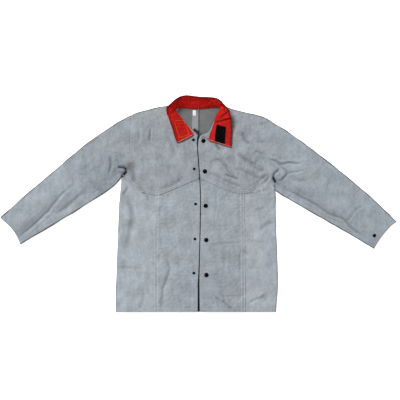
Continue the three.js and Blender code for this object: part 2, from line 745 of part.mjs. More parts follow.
for (const [name, half] of Object.entries(HALVES)) {
  add(`back_${name}`, back(half), MATERIALS.leather);
  add(`yoke_${name}`, yoke(half), MATERIALS.leather);
  add(`front_${name}`, centreFront(half), MATERIALS.leather);
  add(`side_${name}`, sideFront(half), MATERIALS.leather);
  add(`sleeve_upper_${name}`, sleeve(half, 0, ELBOW - ELBOW_GAP), MATERIALS.leather);
  add(`sleeve_lower_${name}`, sleeve(half, ELBOW + ELBOW_GAP, 1), MATERIALS.leather);
}
add("collar", collar(), MATERIALS.collar);
add("hook_patch", collarPatch(HOOK_PATCH), MATERIALS.hook);
add("loop_patch", collarPatch(LOOP_PATCH), MATERIALS.hook);

// A front's snaps sit on its yoke above the seam and on its centre front below.
const panelUnder = (half, { y }) => jacket.getObjectByName(`${y > YOKE_Y ? "yoke" : "front"}_${half}`);
CAPS.forEach((place, i) => {
  const cap = add(`cap_${i + 1}`, capGeometry(CAP), MATERIALS.snap);
  seat(cap, place, CAP.radius, panelUnder("left", place));
});
STUDS.forEach((place, i) => {
  const stud = add(`stud_${i + 1}`, studGeometry(STUD), MATERIALS.snap);
  seat(stud, place, STUD.flange, panelUnder("right", place));
});
const cuffCap = add("cuff_cap", capGeometry(CUFF_CAP), MATERIALS.snap);
seat(cuffCap, CUFF_CAP_PLACE, CUFF_CAP.radius, jacket.getObjectByName("sleeve_lower_left"));

const stripLength = SEAM_STRIP.topY - HEM_Y;
const strip = add(
  "back_seam_strip",
  new THREE.BoxGeometry(SEAM_STRIP.width, stripLength, SEAM_STRIP.thick),
  MATERIALS.leather,
);
const stripLow = LEATHER + SEAT_GAP;
strip.position.set(SEAM_STRIP.x, SEAM_STRIP.topY - stripLength / 2, stripLow + SEAM_STRIP.thick / 2);
const label = add(
  "neck_label",
  new THREE.BoxGeometry(NECK_LABEL.width, NECK_LABEL.length, NECK_LABEL.thick),
  MATERIALS.label,
);
label.position.set(
  NECK_LABEL.x,
  NECK_LABEL.topY - NECK_LABEL.length / 2,
  stripLow + SEAM_STRIP.thick + SEAT_GAP + NECK_LABEL.thick / 2,
);

// The origin is the middle of the footprint, on the floor.
const footprint = new THREE.Box3().setFromObject(jacket, true);
const middle = footprint.getCenter(new THREE.Vector3());
jacket.children.forEach((piece) => {
  piece.position.x -= middle.x;
  piece.position.y -= middle.y;
  piece.position.z -= footprint.min.z;
});

export default jacket;
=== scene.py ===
# %% [markdown]
# # A split-leather welding jacket, laid out on its back
# The jacket lies unfastened on a pale floor with its front up, and the camera looks straight down on it.
# The frame holds every panel as a plain wall of the right size. This lesson dresses those walls: it gives
# the leather its creases, nap and colour, sews it together with rows of thread, and models the collar,
# the hook-and-loop tape and the snaps. Left and right are the wearer's, so the wearer's left is on the
# right of the picture, at +X.

import math
from collections import namedtuple

import bmesh
import bpy
import numpy as np
from mathutils import Matrix, Vector
from mathutils.bvhtree import BVHTree


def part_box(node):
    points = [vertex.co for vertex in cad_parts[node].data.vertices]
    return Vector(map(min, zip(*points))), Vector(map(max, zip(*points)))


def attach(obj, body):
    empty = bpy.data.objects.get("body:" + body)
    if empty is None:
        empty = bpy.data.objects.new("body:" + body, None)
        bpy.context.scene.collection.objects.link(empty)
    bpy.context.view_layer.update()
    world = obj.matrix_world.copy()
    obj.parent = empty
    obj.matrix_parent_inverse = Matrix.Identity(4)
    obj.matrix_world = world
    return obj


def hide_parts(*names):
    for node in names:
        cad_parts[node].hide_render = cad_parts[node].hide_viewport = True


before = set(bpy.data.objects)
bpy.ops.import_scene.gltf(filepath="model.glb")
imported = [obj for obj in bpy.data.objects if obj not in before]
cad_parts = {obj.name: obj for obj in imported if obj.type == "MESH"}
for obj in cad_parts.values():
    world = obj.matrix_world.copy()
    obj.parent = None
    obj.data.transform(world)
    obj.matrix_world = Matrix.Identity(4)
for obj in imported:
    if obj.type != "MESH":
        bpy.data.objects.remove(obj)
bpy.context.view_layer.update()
MM = 0.001
HANDS = ("right", "left")


# %% [markdown]
# ## The camera
# The photograph shows no side of the jacket, only its plan, so the camera hangs high above it with a long
# lens. One picture pixel covers 3.75 mm of the floor, which sets the lens.

# %% Camera
IMAGE_PIXELS = 400
PIXEL_MM = 3.75
VIEW_MIDDLE_MM = (5.6, 14.0)
CAMERA_HEIGHT_MM = 8000

bpy.ops.object.select_all(action="DESELECT")
bpy.ops.object.camera_add(rotation=(0, 0, 0))
camera = bpy.context.object
camera.location = Vector((*VIEW_MIDDLE_MM, CAMERA_HEIGHT_MM)) * MM
camera.data.lens = camera.data.sensor_width * CAMERA_HEIGHT_MM / (IMAGE_PIXELS * PIXEL_MM)
bpy.context.scene.camera = camera
print("camera lens:", round(camera.data.lens), "mm")

# %% [markdown]
# ## Colours and nodes
# Colours are written as the sRGB hex values that a colour picker shows. Blender's shaders work with
# linear light, so one function turns them over. A second one adds a node with its settings and links,
# which keeps the materials short enough to read.

# %% Helpers for materials
def linear(hex_colour):
    """An sRGB hex colour as linear red, green, blue and alpha."""
    shares = [int(hex_colour[i:i + 2], 16) / 255 for i in (1, 3, 5)]
    return (*[s / 12.92 if s <= 0.04045 else ((s + 0.055) / 1.055) ** 2.4 for s in shares], 1.0)


def feed(tree, node, inputs):
    """Fills a node's inputs by name or number: a value is set, and the socket of another node is linked."""
    for name, value in inputs.items():
        if isinstance(value, bpy.types.NodeSocket):
            tree.links.new(value, node.inputs[name])
        else:
            node.inputs[name].default_value = value


def add_node(tree, kind, inputs, **settings):
    """Adds a node with its settings and inputs."""
    node = tree.nodes.new(kind)
    for name, value in settings.items():
        setattr(node, name, value)
    feed(tree, node, inputs)
    return node


def new_material(name):
    """A material with its node tree, its shader and the place on the object that patterns are read from."""
    material = bpy.data.materials.new(name)
    material.use_nodes = True
    tree = material.node_tree
    place = add_node(tree, "ShaderNodeTexCoord", {}).outputs["Object"]
    return material, tree, tree.nodes["Principled BSDF"], place


def per_metre(size_mm):
    """The scale of a pattern whose features are size_mm wide."""
    return 1000 / size_mm


# %% [markdown]
# ## Painted shade and grime
# The shade that gathers in creases and at folded edges is painted into the colour, on leather and on
# cloth, with the grime that lies in the creases. Each panel and the collar will carry a number of that
# name on every vertex. A material reads it and darkens its colour there, and where the number is below
# zero the colour is paler than the plain one, which paints light on the collar.

# %% Painted shade and grime in a material
SHADE_AND_GRIME = "shade_and_grime"
FACTOR, COLOUR_A, COLOUR_B = 0, 6, 7  # the inputs of a Mix node that mixes two colours
MIXED = 2  # and its output


def darkened(tree, colour, light, share):
    """A colour under a pattern of light, darkened by share times the painted shade and grime."""
    shade_and_grime = add_node(tree, "ShaderNodeAttribute", {}, attribute_name=SHADE_AND_GRIME).outputs["Fac"]
    kept_share = add_node(tree, "ShaderNodeMath", {0: shade_and_grime, 1: -share, 2: 1.0}, operation="MULTIPLY_ADD")
    lightness = add_node(tree, "ShaderNodeMath", {0: light, 1: kept_share.outputs[0]}, operation="MULTIPLY")
    lit = {0: colour, "Scale": lightness.outputs[0]}
    return add_node(tree, "ShaderNodeVectorMath", lit, operation="SCALE").outputs[0]


# %% [markdown]
# ## Split leather
# The panels are split cowhide, the fibrous lower layer of the hide, chrome-tanned to a blue grey and
# buffed to a nap on both faces. It has no grain and no gloss: the eye sees cloudy patches where the hide
# took the tanning unevenly, short strokes where the nap lies one way or the other, and a warm tint where
# it was handled. Noise at four sizes gives the clouds, the strokes, the nap and the handled patches, and
# sheen gives the soft light that loose fibres catch. Each panel was cut from another part of a hide, so
# each has its own tone, with its contrast where that isn't the usual one.

# %% Suede material
CLOUD_MM = 42
STROKE_MM = 13
STROKE_DEGREES = 24
STROKE_STRETCH = (1.0, 0.42, 1.0)  # the strokes are drawn out along the lie of the nap
STROKE_SHARE = 0.9
NAP_MM = 5  # a real nap is finer than 1 mm, drawn this coarse so that it shows in the render
NAP_SHARE = 0.95
NAP_DEPTH_MM = 0.9
MOTTLE = 0.17  # how much lighter or darker the pattern makes the leather
STAIN_MM = 130
HANDLED_TINT = linear("#9b9d9b")
# how much the painted shade and grime darken the suede
SUEDE_DARKENING = 0.97


def split_suede(name, colour, contrast=1.0):
    """Napped split leather in one tone. contrast is how far its clouds and strokes stand out."""
    material, tree, shader, place = new_material(name)
    turn = (0, 0, math.radians(STROKE_DEGREES))
    drawn_out = {"Vector": place, "Rotation": turn, "Scale": STROKE_STRETCH}
    lie = add_node(tree, "ShaderNodeMapping", drawn_out).outputs[0]
    patterns = {
        "cloud": {"Vector": place, "Scale": per_metre(CLOUD_MM), "Detail": 4.0},
        "stroke": {"Vector": lie, "Scale": per_metre(STROKE_MM), "Detail": 3.0, "Distortion": 0.6},
        "nap": {"Vector": place, "Scale": per_metre(NAP_MM), "Detail": 2.0},
        "stain": {"Vector": place, "Scale": per_metre(STAIN_MM), "Detail": 3.0},
    }
    nodes = {part: add_node(tree, "ShaderNodeTexNoise", inputs) for part, inputs in patterns.items()}
    noise = {part: node.outputs[0] for part, node in nodes.items()}
    relief = noise["cloud"]
    for part, share in (("stroke", STROKE_SHARE), ("nap", NAP_SHARE)):
        both = {0: noise[part], 1: share, 2: relief}
        relief = add_node(tree, "ShaderNodeMath", both, operation="MULTIPLY_ADD").outputs[0]
    mottle = {"Value": relief, "From Min": 1.1, "From Max": 1.75}
    mottle.update({"To Min": 1 - MOTTLE * contrast, "To Max": 1 + MOTTLE * contrast})
    light = add_node(tree, "ShaderNodeMapRange", mottle).outputs[0]
    stain = {"Value": noise["stain"], "From Min": 0.5, "From Max": 0.75, "To Max": 0.35}
    handled = add_node(tree, "ShaderNodeMapRange", stain).outputs[0]
    tones = {FACTOR: handled, COLOUR_A: linear(colour), COLOUR_B: HANDLED_TINT}
    tint = add_node(tree, "ShaderNodeMix", tones, data_type="RGBA").outputs[MIXED]
    raised = {"Height": relief, "Strength": 0.6, "Distance": NAP_DEPTH_MM * MM}
    bump = add_node(tree, "ShaderNodeBump", raised)
    look = {"Base Color": darkened(tree, tint, light, SUEDE_DARKENING), "Normal": bump.outputs[0]}
    look.update({"Roughness": 0.95, "Specular IOR Level": 0.12})
    look.update({"Sheen Weight": 0.1, "Sheen Roughness": 0.6})
    feed(tree, shader, look)
    return material


SUEDE_TONES = {
    "front_right": ["#9da5ac"],
    "front_left": ["#979fa6"],
    "side": ["#a3abb2"],
    "yoke_right": ["#969da2", 1.15],
    "yoke_left": ["#959ca2", 1.3],
    "sleeve_upper_right": ["#939ba3"],
    "sleeve_upper_left": ["#99a1a9"],
    "sleeve_lower_right": ["#9ca4ac"],
    "sleeve_lower_left": ["#969ea6"],
    # the inside is coloured darker as painted shade: it lies in the neck, under the collar
    "inside": ["#727576", 0.8],
    "strip": ["#93979a", 0.8],
}
SUEDES = {part: split_suede("split_suede_" + part, *tone) for part, tone in SUEDE_TONES.items()}
print("suede tones:", ", ".join(SUEDES))

# %% [markdown]
# ## Cotton drill
# The collar is proofed cotton drill: a tight diagonal weave in one red, matt, a little paler where it has
# rubbed. A wave texture gives the ribs and noise the rubbed clouds.

# %% Drill material
DRILL_RIB_MM = 2.6  # a real drill's ribs are about 0.8 mm apart, drawn coarser to show in a close view
RIB_DEGREES = 63
RIB_DEPTH_MM = 0.25
WAVE_TURN = 20  # how far a wave texture of scale 1 turns in a metre, in radians
RUB_MM = 22
# how much the painted shade and grime darken the drill
DRILL_DARKENING = 0.75


def cotton_drill(name, colour, rubbed):
    """Proofed cotton drill: diagonal ribs, and paler clouds where it has rubbed."""
    material, tree, shader, place = new_material(name)
    turn = (0, 0, math.radians(RIB_DEGREES))
    slant = add_node(tree, "ShaderNodeMapping", {"Vector": place, "Rotation": turn}).outputs[0]
    rib_scale = per_metre(DRILL_RIB_MM) * math.tau / WAVE_TURN
    weave = {"Vector": slant, "Scale": rib_scale, "Distortion": 0.8, "Detail": 1.0}
    ribs = add_node(tree, "ShaderNodeTexWave", weave).outputs["Fac"]
    light = add_node(tree, "ShaderNodeMapRange", {"Value": ribs, "To Min": 0.95, "To Max": 1.02}).outputs[0]
    rub = add_node(tree, "ShaderNodeTexNoise", {"Vector": place, "Scale": per_metre(RUB_MM), "Detail": 4.0})
    wear = {"Value": rub.outputs[0], "From Min": 0.42, "From Max": 0.72, "To Max": 0.8}
    worn = add_node(tree, "ShaderNodeMapRange", wear).outputs[0]
    tones = {FACTOR: worn, COLOUR_A: linear(colour), COLOUR_B: linear(rubbed)}
    cloth = add_node(tree, "ShaderNodeMix", tones, data_type="RGBA").outputs[MIXED]
    raised = {"Height": ribs, "Strength": 0.35, "Distance": RIB_DEPTH_MM * MM}
    bump = add_node(tree, "ShaderNodeBump", raised)
    look = {"Base Color": darkened(tree, cloth, light, DRILL_DARKENING), "Normal": bump.outputs[0]}
    look.update({"Roughness": 0.85, "Specular IOR Level": 0.2})
    feed(tree, shader, look)
    return material


RED_DRILL = cotton_drill("proofed_cotton_drill", "#c3150f", "#cf241a")
print("drill ribs", DRILL_RIB_MM, "mm apart")

# %% [markdown]
# ## Tape, thread and enamel
# The fastening on the collar is nylon hook tape, so black that only its edges show, and the label in the
# neck is white tape. The seams are sewn with spun aramid thread, which is pale straw and doesn't burn. It
# has bleached or greyed with wear, each seam in its own way. The snaps are brass pressed to shape and
# baked in black enamel, with a soft gloss.

# %% Materials of the trimmings
WEAVE_MM = 1.6  # a real tape's threads are about 0.5 mm wide, drawn coarser to show in a close view
WEAVE_DEPTH_MM = 0.2
WEFT_SHADE = 0.88
THREAD_PLY_MM = 1.2
SCUFF_MM = 3


def woven_nylon(name, colour, rough):
    """Plain woven tape: a checked weave with a faint gloss from its filaments."""
    material, tree, shader, place = new_material(name)
    warp = linear(colour)
    weft = (*[WEFT_SHADE * c for c in warp[:3]], 1.0)
    checks = {"Vector": place, "Color1": warp, "Color2": weft, "Scale": per_metre(WEAVE_MM)}
    weave = add_node(tree, "ShaderNodeTexChecker", checks)
    threads = {"Height": weave.outputs["Fac"], "Strength": 0.3, "Distance": WEAVE_DEPTH_MM * MM}
    bump = add_node(tree, "ShaderNodeBump", threads)
    look = {"Base Color": weave.outputs["Color"], "Normal": bump.outputs[0]}
    look.update({"Roughness": rough, "Specular IOR Level": 0.2})
    feed(tree, shader, look)
    return material


def spun_thread(name, colour, shade):
    """Spun sewing thread: two tones that wind round each stitch."""
    material, tree, shader, place = new_material(name)
    twist = {"Vector": place, "Scale": per_metre(THREAD_PLY_MM), "Detail": 2.0}
    ply = add_node(tree, "ShaderNodeTexNoise", twist).outputs[0]
    tones = {FACTOR: ply, COLOUR_A: linear(colour), COLOUR_B: linear(shade)}
    wound = add_node(tree, "ShaderNodeMix", tones, data_type="RGBA").outputs[MIXED]
    feed(tree, shader, {"Base Color": wound, "Roughness": 0.7, "Specular IOR Level": 0.25})
    return material


def baked_enamel(name, colour, worn):
    """Black baked enamel over pressed brass, scuffed to a duller grey in small spots."""
    material, tree, shader, place = new_material(name)
    spots = {"Vector": place, "Scale": per_metre(SCUFF_MM), "Detail": 5.0}
    scuff = add_node(tree, "ShaderNodeTexNoise", spots).outputs[0]
    wear = {"Value": scuff, "From Min": 0.55, "From Max": 0.8, "To Max": 0.7}
    scuffed = add_node(tree, "ShaderNodeMapRange", wear).outputs[0]
    tones = {FACTOR: scuffed, COLOUR_A: linear(colour), COLOUR_B: linear(worn)}
    coat = add_node(tree, "ShaderNodeMix", tones, data_type="RGBA").outputs[MIXED]
    rough = add_node(tree, "ShaderNodeMapRange", {"Value": scuff, "To Min": 0.3, "To Max": 0.55}).outputs[0]
    feed(tree, shader, {"Base Color": coat, "Roughness": rough, "Specular IOR Level": 0.06})
    return material


HOOK_TAPE = woven_nylon("nylon_hook_tape", "#010101", 0.9)
LOOP_TAPE = woven_nylon("nylon_loop_tape", "#121214", 0.95)
LABEL_TAPE = woven_nylon("woven_label_tape", "#f4f5f5", 0.8)
ENAMEL = baked_enamel("black_baked_enamel", "#010101", "#060607")
THREAD_TONES = {
    "aramid": ("#dedbd0", "#cbc8bb"),
    "white": ("#f2f2ee", "#dcdcd7"),
    "faded": ("#c6c6bf", "#b5b7b3"),
    "grey": ("#a9adae", "#9b9fa0"),
    "orange": ("#f09a3c", "#d9782f"),
    "red": ("#8f1410", "#a51c16"),
    "black": ("#141416", "#08080a"),
}
THREADS = {tone: spun_thread("spun_" + tone + "_thread", *pair) for tone, pair in THREAD_TONES.items()}
print("threads:", ", ".join(THREADS))

# %% [markdown]
# ## Selecting as by hand
# Blender's operators act on what is selected. These helpers deselect everything else first, and pick
# faces by where they are and which way they point, as a modeller would click them.

# %% Helpers for modelling
UPRIGHT = 0.9  # the least height of a normal that points straight up, more or less
bpy.context.tool_settings.mesh_select_mode = (False, False, True)  # not points or edges, but faces


def only(piece):
    """Selects one object alone and makes it the active one."""
    bpy.ops.object.select_all(action="DESELECT")
    piece.select_set(True)
    bpy.context.view_layer.objects.active = piece


def select_faces(piece, wanted):
    """In edit mode, selects the faces for which wanted(face) is true."""
    bpy.ops.mesh.select_all(action="DESELECT")
    bpy.ops.object.mode_set(mode="OBJECT")
    for face in piece.data.polygons:
        face.select = wanted(face)
    bpy.ops.object.mode_set(mode="EDIT")


def faces_up(face):
    """Whether a face looks straight up."""
    return face.normal.z > UPRIGHT


def apply_modifier(piece, kind, **settings):
    """Adds one modifier to a piece with its settings and applies it."""
    only(piece)
    modifier = piece.modifiers.new(kind.title(), kind)
    for name, value in settings.items():
        setattr(modifier, name, value)
    bpy.ops.object.modifier_apply(modifier=modifier.name)


def finish_piece(piece, material, nodes=()):
    """Gives a piece its material, ties it to the frame's root body, and hides the nodes that it stands for.
    """
    piece.data.materials.clear()
    piece.data.materials.append(material)
    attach(piece, "root")
    if nodes:
        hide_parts(*nodes)


# %% [markdown]
# ## Points as arrays
# A panel has tens of thousands of points, and many steps move all of them at once. Their places and
# normals are read into arrays and written back in one go, which is much faster than point by point.

# %% Helpers for points
DOWN = Vector((0, 0, -1))
FROM_ABOVE = 0.5  # a height in metres that is above everything


def vertex_rows(mesh, what):
    """One property of a mesh's vertices as the rows of an array."""
    flat = np.empty(len(mesh.vertices) * 3)
    mesh.vertices.foreach_get(what, flat)
    return flat.reshape(-1, 3)


def points_of(mesh):
    """The places of a mesh's vertices."""
    return vertex_rows(mesh, "co")


def normals_of(mesh):
    """The outward directions at a mesh's vertices."""
    return vertex_rows(mesh, "normal")


def unit(rows):
    """The rows of an array, each at length 1."""
    return rows / np.linalg.norm(rows, axis=1)[:, None]


def move_points(mesh, points):
    """Puts the vertices of a mesh at new places."""
    mesh.vertices.foreach_set("co", np.asarray(points).ravel())
    mesh.update()


def surface_of(*pieces):
    """The faces of some pieces as one surface to cast rays at and find nearest points on."""
    places = []
    faces = []
    for piece in pieces:
        faces += [tuple(v + len(places) for v in face.vertices) for face in piece.data.polygons]
        places += [tuple(p) for p in points_of(piece.data)]
    return BVHTree.FromPolygons(places, faces)


# %% [markdown]
# ## The outer skin of a panel
# A panel in the frame is a closed wall of loose triangles with inner and outer faces and a rim between
# them. The look needs a fine, even surface to crease, so each panel starts from a copy of its wall:
# doubles are merged, the outer face is picked by growing a selection from its highest face until it meets
# the sharp rim, and the rest is deleted. Where the rim slants, the selection runs on over it, so a row of
# faces that is no wider than the wall is deleted too. Triangles joined to quads subdivide smoothly to
# cells of about 4 mm. Subdividing would also round off the corners that were cut with a knife, so those
# are marked as creased.

# %% Outer skins
SKIN_LEVELS = 3
DOUBLES_MM = 0.01
HAIR_MM = 0.0001  # so that the highest face itself counts as high enough
TILT = 0.02  # how much less upright than the most upright one a face may be to count as facing up
RIM_DEGREES = 45
CORNER_DEGREES = 50
RIM_WALL_MM = 2.5


def boundary_loops(mesh):
    """The rims of an open surface, each a list of vertex numbers in order."""
    uses = {}
    for face in mesh.polygons:
        for key in face.edge_keys:
            uses[key] = uses.get(key, 0) + 1
    beside = {}
    for a, b in (key for key, count in uses.items() if count == 1):
        beside.setdefault(a, []).append(b)
        beside.setdefault(b, []).append(a)
    loops = []
    left = set(beside)
    while left:
        loop = [min(left)]
        left.discard(loop[0])
        ahead = [v for v in beside[loop[0]] if v in left]
        while ahead:
            loop.append(ahead[0])
            left.discard(ahead[0])
            ahead = [v for v in beside[loop[-1]] if v in left]
        loops.append(loop)
    return loops


def keep_corners(mesh):
    """Creases the vertices of a rim that turn sharply."""
    layer = mesh.attributes.new("crease_vert", "FLOAT", "POINT")
    points = points_of(mesh)
    for loop in boundary_loops(mesh):
        rim = points[loop]
        ahead = unit(np.roll(rim, -1, axis=0) - rim)
        straight = (ahead * np.roll(ahead, 1, axis=0)).sum(axis=1)
        for vertex in np.array(loop)[straight < math.cos(math.radians(CORNER_DEGREES))]:
            layer.data[vertex].value = 1.0


def drop_rim_walls(skin):
    """Deletes the faces along a rim where they are no wider than the wall."""
    mesh = skin.data
    points = points_of(mesh)
    narrow = set()
    for loop in boundary_loops(mesh):
        steps = {frozenset(step) for step in zip(loop, loop[1:] + loop[:1])}
        widths = {}
        for face in mesh.polygons:
            sides = [key for key in face.edge_keys if frozenset(key) in steps]
            if sides:
                length = sum(np.linalg.norm(points[a] - points[b]) for a, b in sides)
                widths[face.index] = face.area / length
        if np.median(list(widths.values())) < RIM_WALL_MM * MM:
            narrow |= set(widths)
    if narrow:
        bpy.ops.object.mode_set(mode="EDIT")
        select_faces(skin, lambda face: face.index in narrow)
        bpy.ops.mesh.delete(type="FACE")
        bpy.ops.object.mode_set(mode="OBJECT")
        print(skin.name, "lost", len(narrow), "faces of its rim")


def outer_skin(node, name, levels=SKIN_LEVELS, kind="CATMULL_CLARK"):
    """A smooth open surface over the outer face of one CAD wall."""
    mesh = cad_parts[node].data.copy()
    skin = bpy.data.objects.new(name, mesh)
    bpy.context.collection.objects.link(skin)
    only(skin)
    bpy.ops.object.mode_set(mode="EDIT")
    bpy.ops.mesh.select_all(action="SELECT")
    bpy.ops.mesh.remove_doubles(threshold=DOUBLES_MM * MM)
    bpy.ops.object.mode_set(mode="OBJECT")
    upright = max(face.normal.z for face in mesh.polygons) - TILT
    highest = max(face.center.z for face in mesh.polygons if face.normal.z > upright) - HAIR_MM * MM
    bpy.ops.object.mode_set(mode="EDIT")
    select_faces(skin, lambda face: face.normal.z > upright and face.center.z > highest)
    bpy.ops.mesh.faces_select_linked_flat(sharpness=math.radians(RIM_DEGREES))
    bpy.ops.mesh.select_all(action="INVERT")
    bpy.ops.mesh.delete(type="FACE")
    bpy.ops.mesh.select_all(action="SELECT")
    bpy.ops.mesh.tris_convert_to_quads(face_threshold=math.pi, shape_threshold=math.pi)
    bpy.ops.object.mode_set(mode="OBJECT")
    bpy.ops.object.shade_smooth()
    drop_rim_walls(skin)
    keep_corners(mesh)
    quads = sum(len(face.vertices) == 4 for face in mesh.polygons)
    print(name, "skin:", len(mesh.polygons), "faces,", quads, "quads")
    smooth = {"levels": levels, "render_levels": levels, "subdivision_type": kind}
    apply_modifier(skin, "SUBSURF", boundary_smooth="PRESERVE_CORNERS", **smooth)
    return skin


# %% [markdown]
# ## Folds and creases
# Leather that was worn and thrown down keeps broad soft folds, with a few sharp creases where it buckled.
# Cloth simulation would give folds of its own, and not the ones in the photograph, so the main ones are
# written down as a table: the line of each, its half-width and depth, and how much of that depth the
# leather swells up again beside it, on the left of the line where swell is positive and on its right
# where it is negative. A negative depth makes a ridge. dark is how much shade is painted into its
# colour, where it closes over itself. All sizes are in millimetres, in the plan of the frame.
#
# First come the yokes. The first line is the outer end of the left yoke's seam, which the jacket has
# pulled up towards the armhole as it lies.

# %% Folds of the yokes
Fold = namedtuple("Fold", "line width depth swell dark", defaults=[1])

YOKE_END_MM = [(190, 42), (205, 51), (222, 65), (249, 86), (276, 107)]
YOKE_FOLDS = [
    Fold(YOKE_END_MM, 5, 1.6, 0.3),
    Fold([(-182, 284), (-182, 255), (-181, 228)], 4, 3.8, 0.4, 1.8),
    Fold([(-222, 278), (-224, 224)], 6, 2.2, 0.4),
    Fold([(-182, 222), (-160, 210), (-138, 200)], 6, 1.8, 0.4),
    Fold([(-80, 218), (-68, 206), (-57, 194)], 6, 2.2, 0.3),
    Fold([(-54, 217), (-43, 175)], 6, 1.8, 0.3),
    Fold([(-152, 52), (-112, 64), (-72, 88), (-46, 104)], 9, 3.4, 0.3, 1.2),
    Fold([(-230, 62), (-210, 52), (-190, 38)], 5, 3.2, 0.4, 1.3),
    Fold([(-258, 162), (-250, 125), (-246, 104), (-240, 70)], 14, 5.0, 0.2, 1.2),
    Fold([(-118, 250), (-96, 214), (-90, 176)], 9, 2.2, 0.3),
    Fold([(-150, 180), (-120, 150), (-104, 118)], 9, 2.2, 0.3),
    Fold([(60, 167), (76, 160), (93, 151)], 5, 3.2, 0.5, 1.2),
    Fold([(84, 152), (103, 140), (114, 119), (144, 97)], 5, 4.0, 0.5, 1.3),
    Fold([(94, 113), (122, 102), (154, 92)], 4, 5.4, 0.6, 1.8),
    Fold([(84, 94), (107, 83), (136, 72), (170, 58)], 5, 3.6, 0.4, 1.2),
    Fold([(32, 150), (60, 160), (88, 171)], 7, 1.8, 0.3),
    Fold([(144, 191), (169, 171), (197, 153), (228, 146)], 8, 4.6, 0.4, 1.2),
    Fold([(222, 292), (260, 304)], 7, 2.0, 0.4),
    Fold([(60, 229), (72, 212), (87, 198)], 5, 4.4, 0.5, 1.9),
    Fold([(162, 272), (172, 250), (178, 234), (198, 221)], 8, 5.0, 0.3, 1.3),
    Fold([(217, 233), (246, 229)], 5, 2.4, 0.4),
    Fold([(208, 196), (228, 190), (246, 183)], 5, 3.0, 0.4),
    Fold([(36, 118), (66, 104), (92, 94)], 7, 2.4, 0.4),
    Fold([(168, 122), (214, 101), (250, 94)], 7, 3.6, 0.4, 1.2),
    Fold([(190, 150), (222, 128), (250, 121)], 7, 3.4, 0.4, 1.1),
    Fold([(204, 66), (234, 90), (262, 112)], 5, 3.6, 0.4, 1.4),
    Fold([(128, 128), (158, 126), (186, 112)], 6, 2.8, 0.5, 1.1),
    Fold([(236, 70), (252, 80), (260, 100), (254, 106)], 4, 3.0, 0.4, 1.3),
    Fold([(8, 250), (30, 243), (62, 228)], 6, 4.0, 0, 1.6),
]
print("yokes:", len(YOKE_FOLDS), "folds")

# %% [markdown]
# Below the yokes the fronts and sides hang straight, with long upright folds and a flap turned up at the
# hem. The last fold paints shade on the edges of the slit between the fronts. The darker patches are all
# but flat: they are wide folds of no depth to speak of, which only darken the colour.

# %% Folds of the fronts and sides
RIGHT_SIDE_MM = [
    (-275, 42), (-261, 6), (-251, -27), (-249, -60), (-256, -98), (-266, -140), (-272, -186)
]
RIGHT_FRONT_MM = [
    (-121, -184), (-118, -214), (-107, -240), (-114, -272), (-128, -308), (-135, -355), (-139, -410)
]
FRONT_FOLDS = [
    Fold(RIGHT_SIDE_MM, 12, 6.0, 0.3, 0.9),
    Fold([(-285, 30), (-271, 50), (-262, 66)], 5, 3.8, 0.4, 1.6),
    Fold([(-210, 46), (-191, 27), (-190, 4)], 5, 3.8, 0.4, 1.4),
    Fold([(-275, -205), (-281, -265)], 10, 2.2, 0.3),
    Fold([(-145, -6), (-144, -30), (-146, -58)], 7, 2.6, 0.3),
    Fold([(-180, -93), (-174, -108), (-170, -124)], 4, 2.4, 0.4, 1.2),
    Fold([(-138, -130), (-138, -164)], 5, 2.4, 0.4),
    Fold([(-148, -188), (-149, -226)], 5, 2.6, 0.4, 1.2),
    Fold(RIGHT_FRONT_MM, 7, 3.2, -0.4),
    Fold([(-296, -238), (-250, -241), (-210, -243)], 4, 2.0, 0.4),
    Fold([(-202, -328), (-220, -402)], 8, 2.6, 0.3, 1.1),
    Fold([(64, 42), (68, -4), (60, -50), (64, -102)], 4, 1.8, 0.4),
    Fold([(30, -155), (110, -149), (186, -141)], 4, 1.5, 0.4, 0.9),
    Fold([(182, -140), (238, -143), (258, -152)], 4, 1.8, 0.4),
    Fold([(97, -156), (98, -258)], 5, 1.6, 0.3),
    Fold([(119, -174), (122, -236)], 4, 1.6, 0.3),
    Fold([(155, -180), (156, -268)], 5, 2.2, 0.3),
    Fold([(169, -172), (178, -184), (187, -196)], 4, 2.8, 0.4, 1.3),
    Fold([(180, -240), (238, -241)], 5, 1.6, 0.4),
    Fold([(70, -342), (92, -364), (120, -394)], 4.5, -3.2, 0),
    Fold([(64, -347), (73, -358), (80, -371)], 4, 3.2, 0, 1.3),
    Fold([(88, -360), (108, -380), (130, -401)], 4.5, 3.8, 0, 1.4),
    Fold([(70, -347), (120, -347), (180, -345)], 3.5, 1.4, 0.4, 0.7),
    Fold([(186, -371), (218, -358), (254, -344)], 5, 2.8, 0.4, 1.2),
    Fold([(226, -99), (250, -84), (282, -68)], 8, 2.6, 0.3),
    Fold([(211, -23), (249, -18)], 5, 1.8, 0.3),
    # painted shade on the edges of the slit
    Fold([(1, -255), (0, -330), (1, -470)], 3, 0.8, 0, 20),
]
DARKER_PATCHES = [
    Fold([(85, -120), (85, -300), (85, -480)], 75, 0.02, 0, 45),
    Fold([(-62, -230), (-62, -340), (-62, -480)], 55, 0.02, 0, 60),
]
print("fronts and sides:", len(FRONT_FOLDS), "folds")
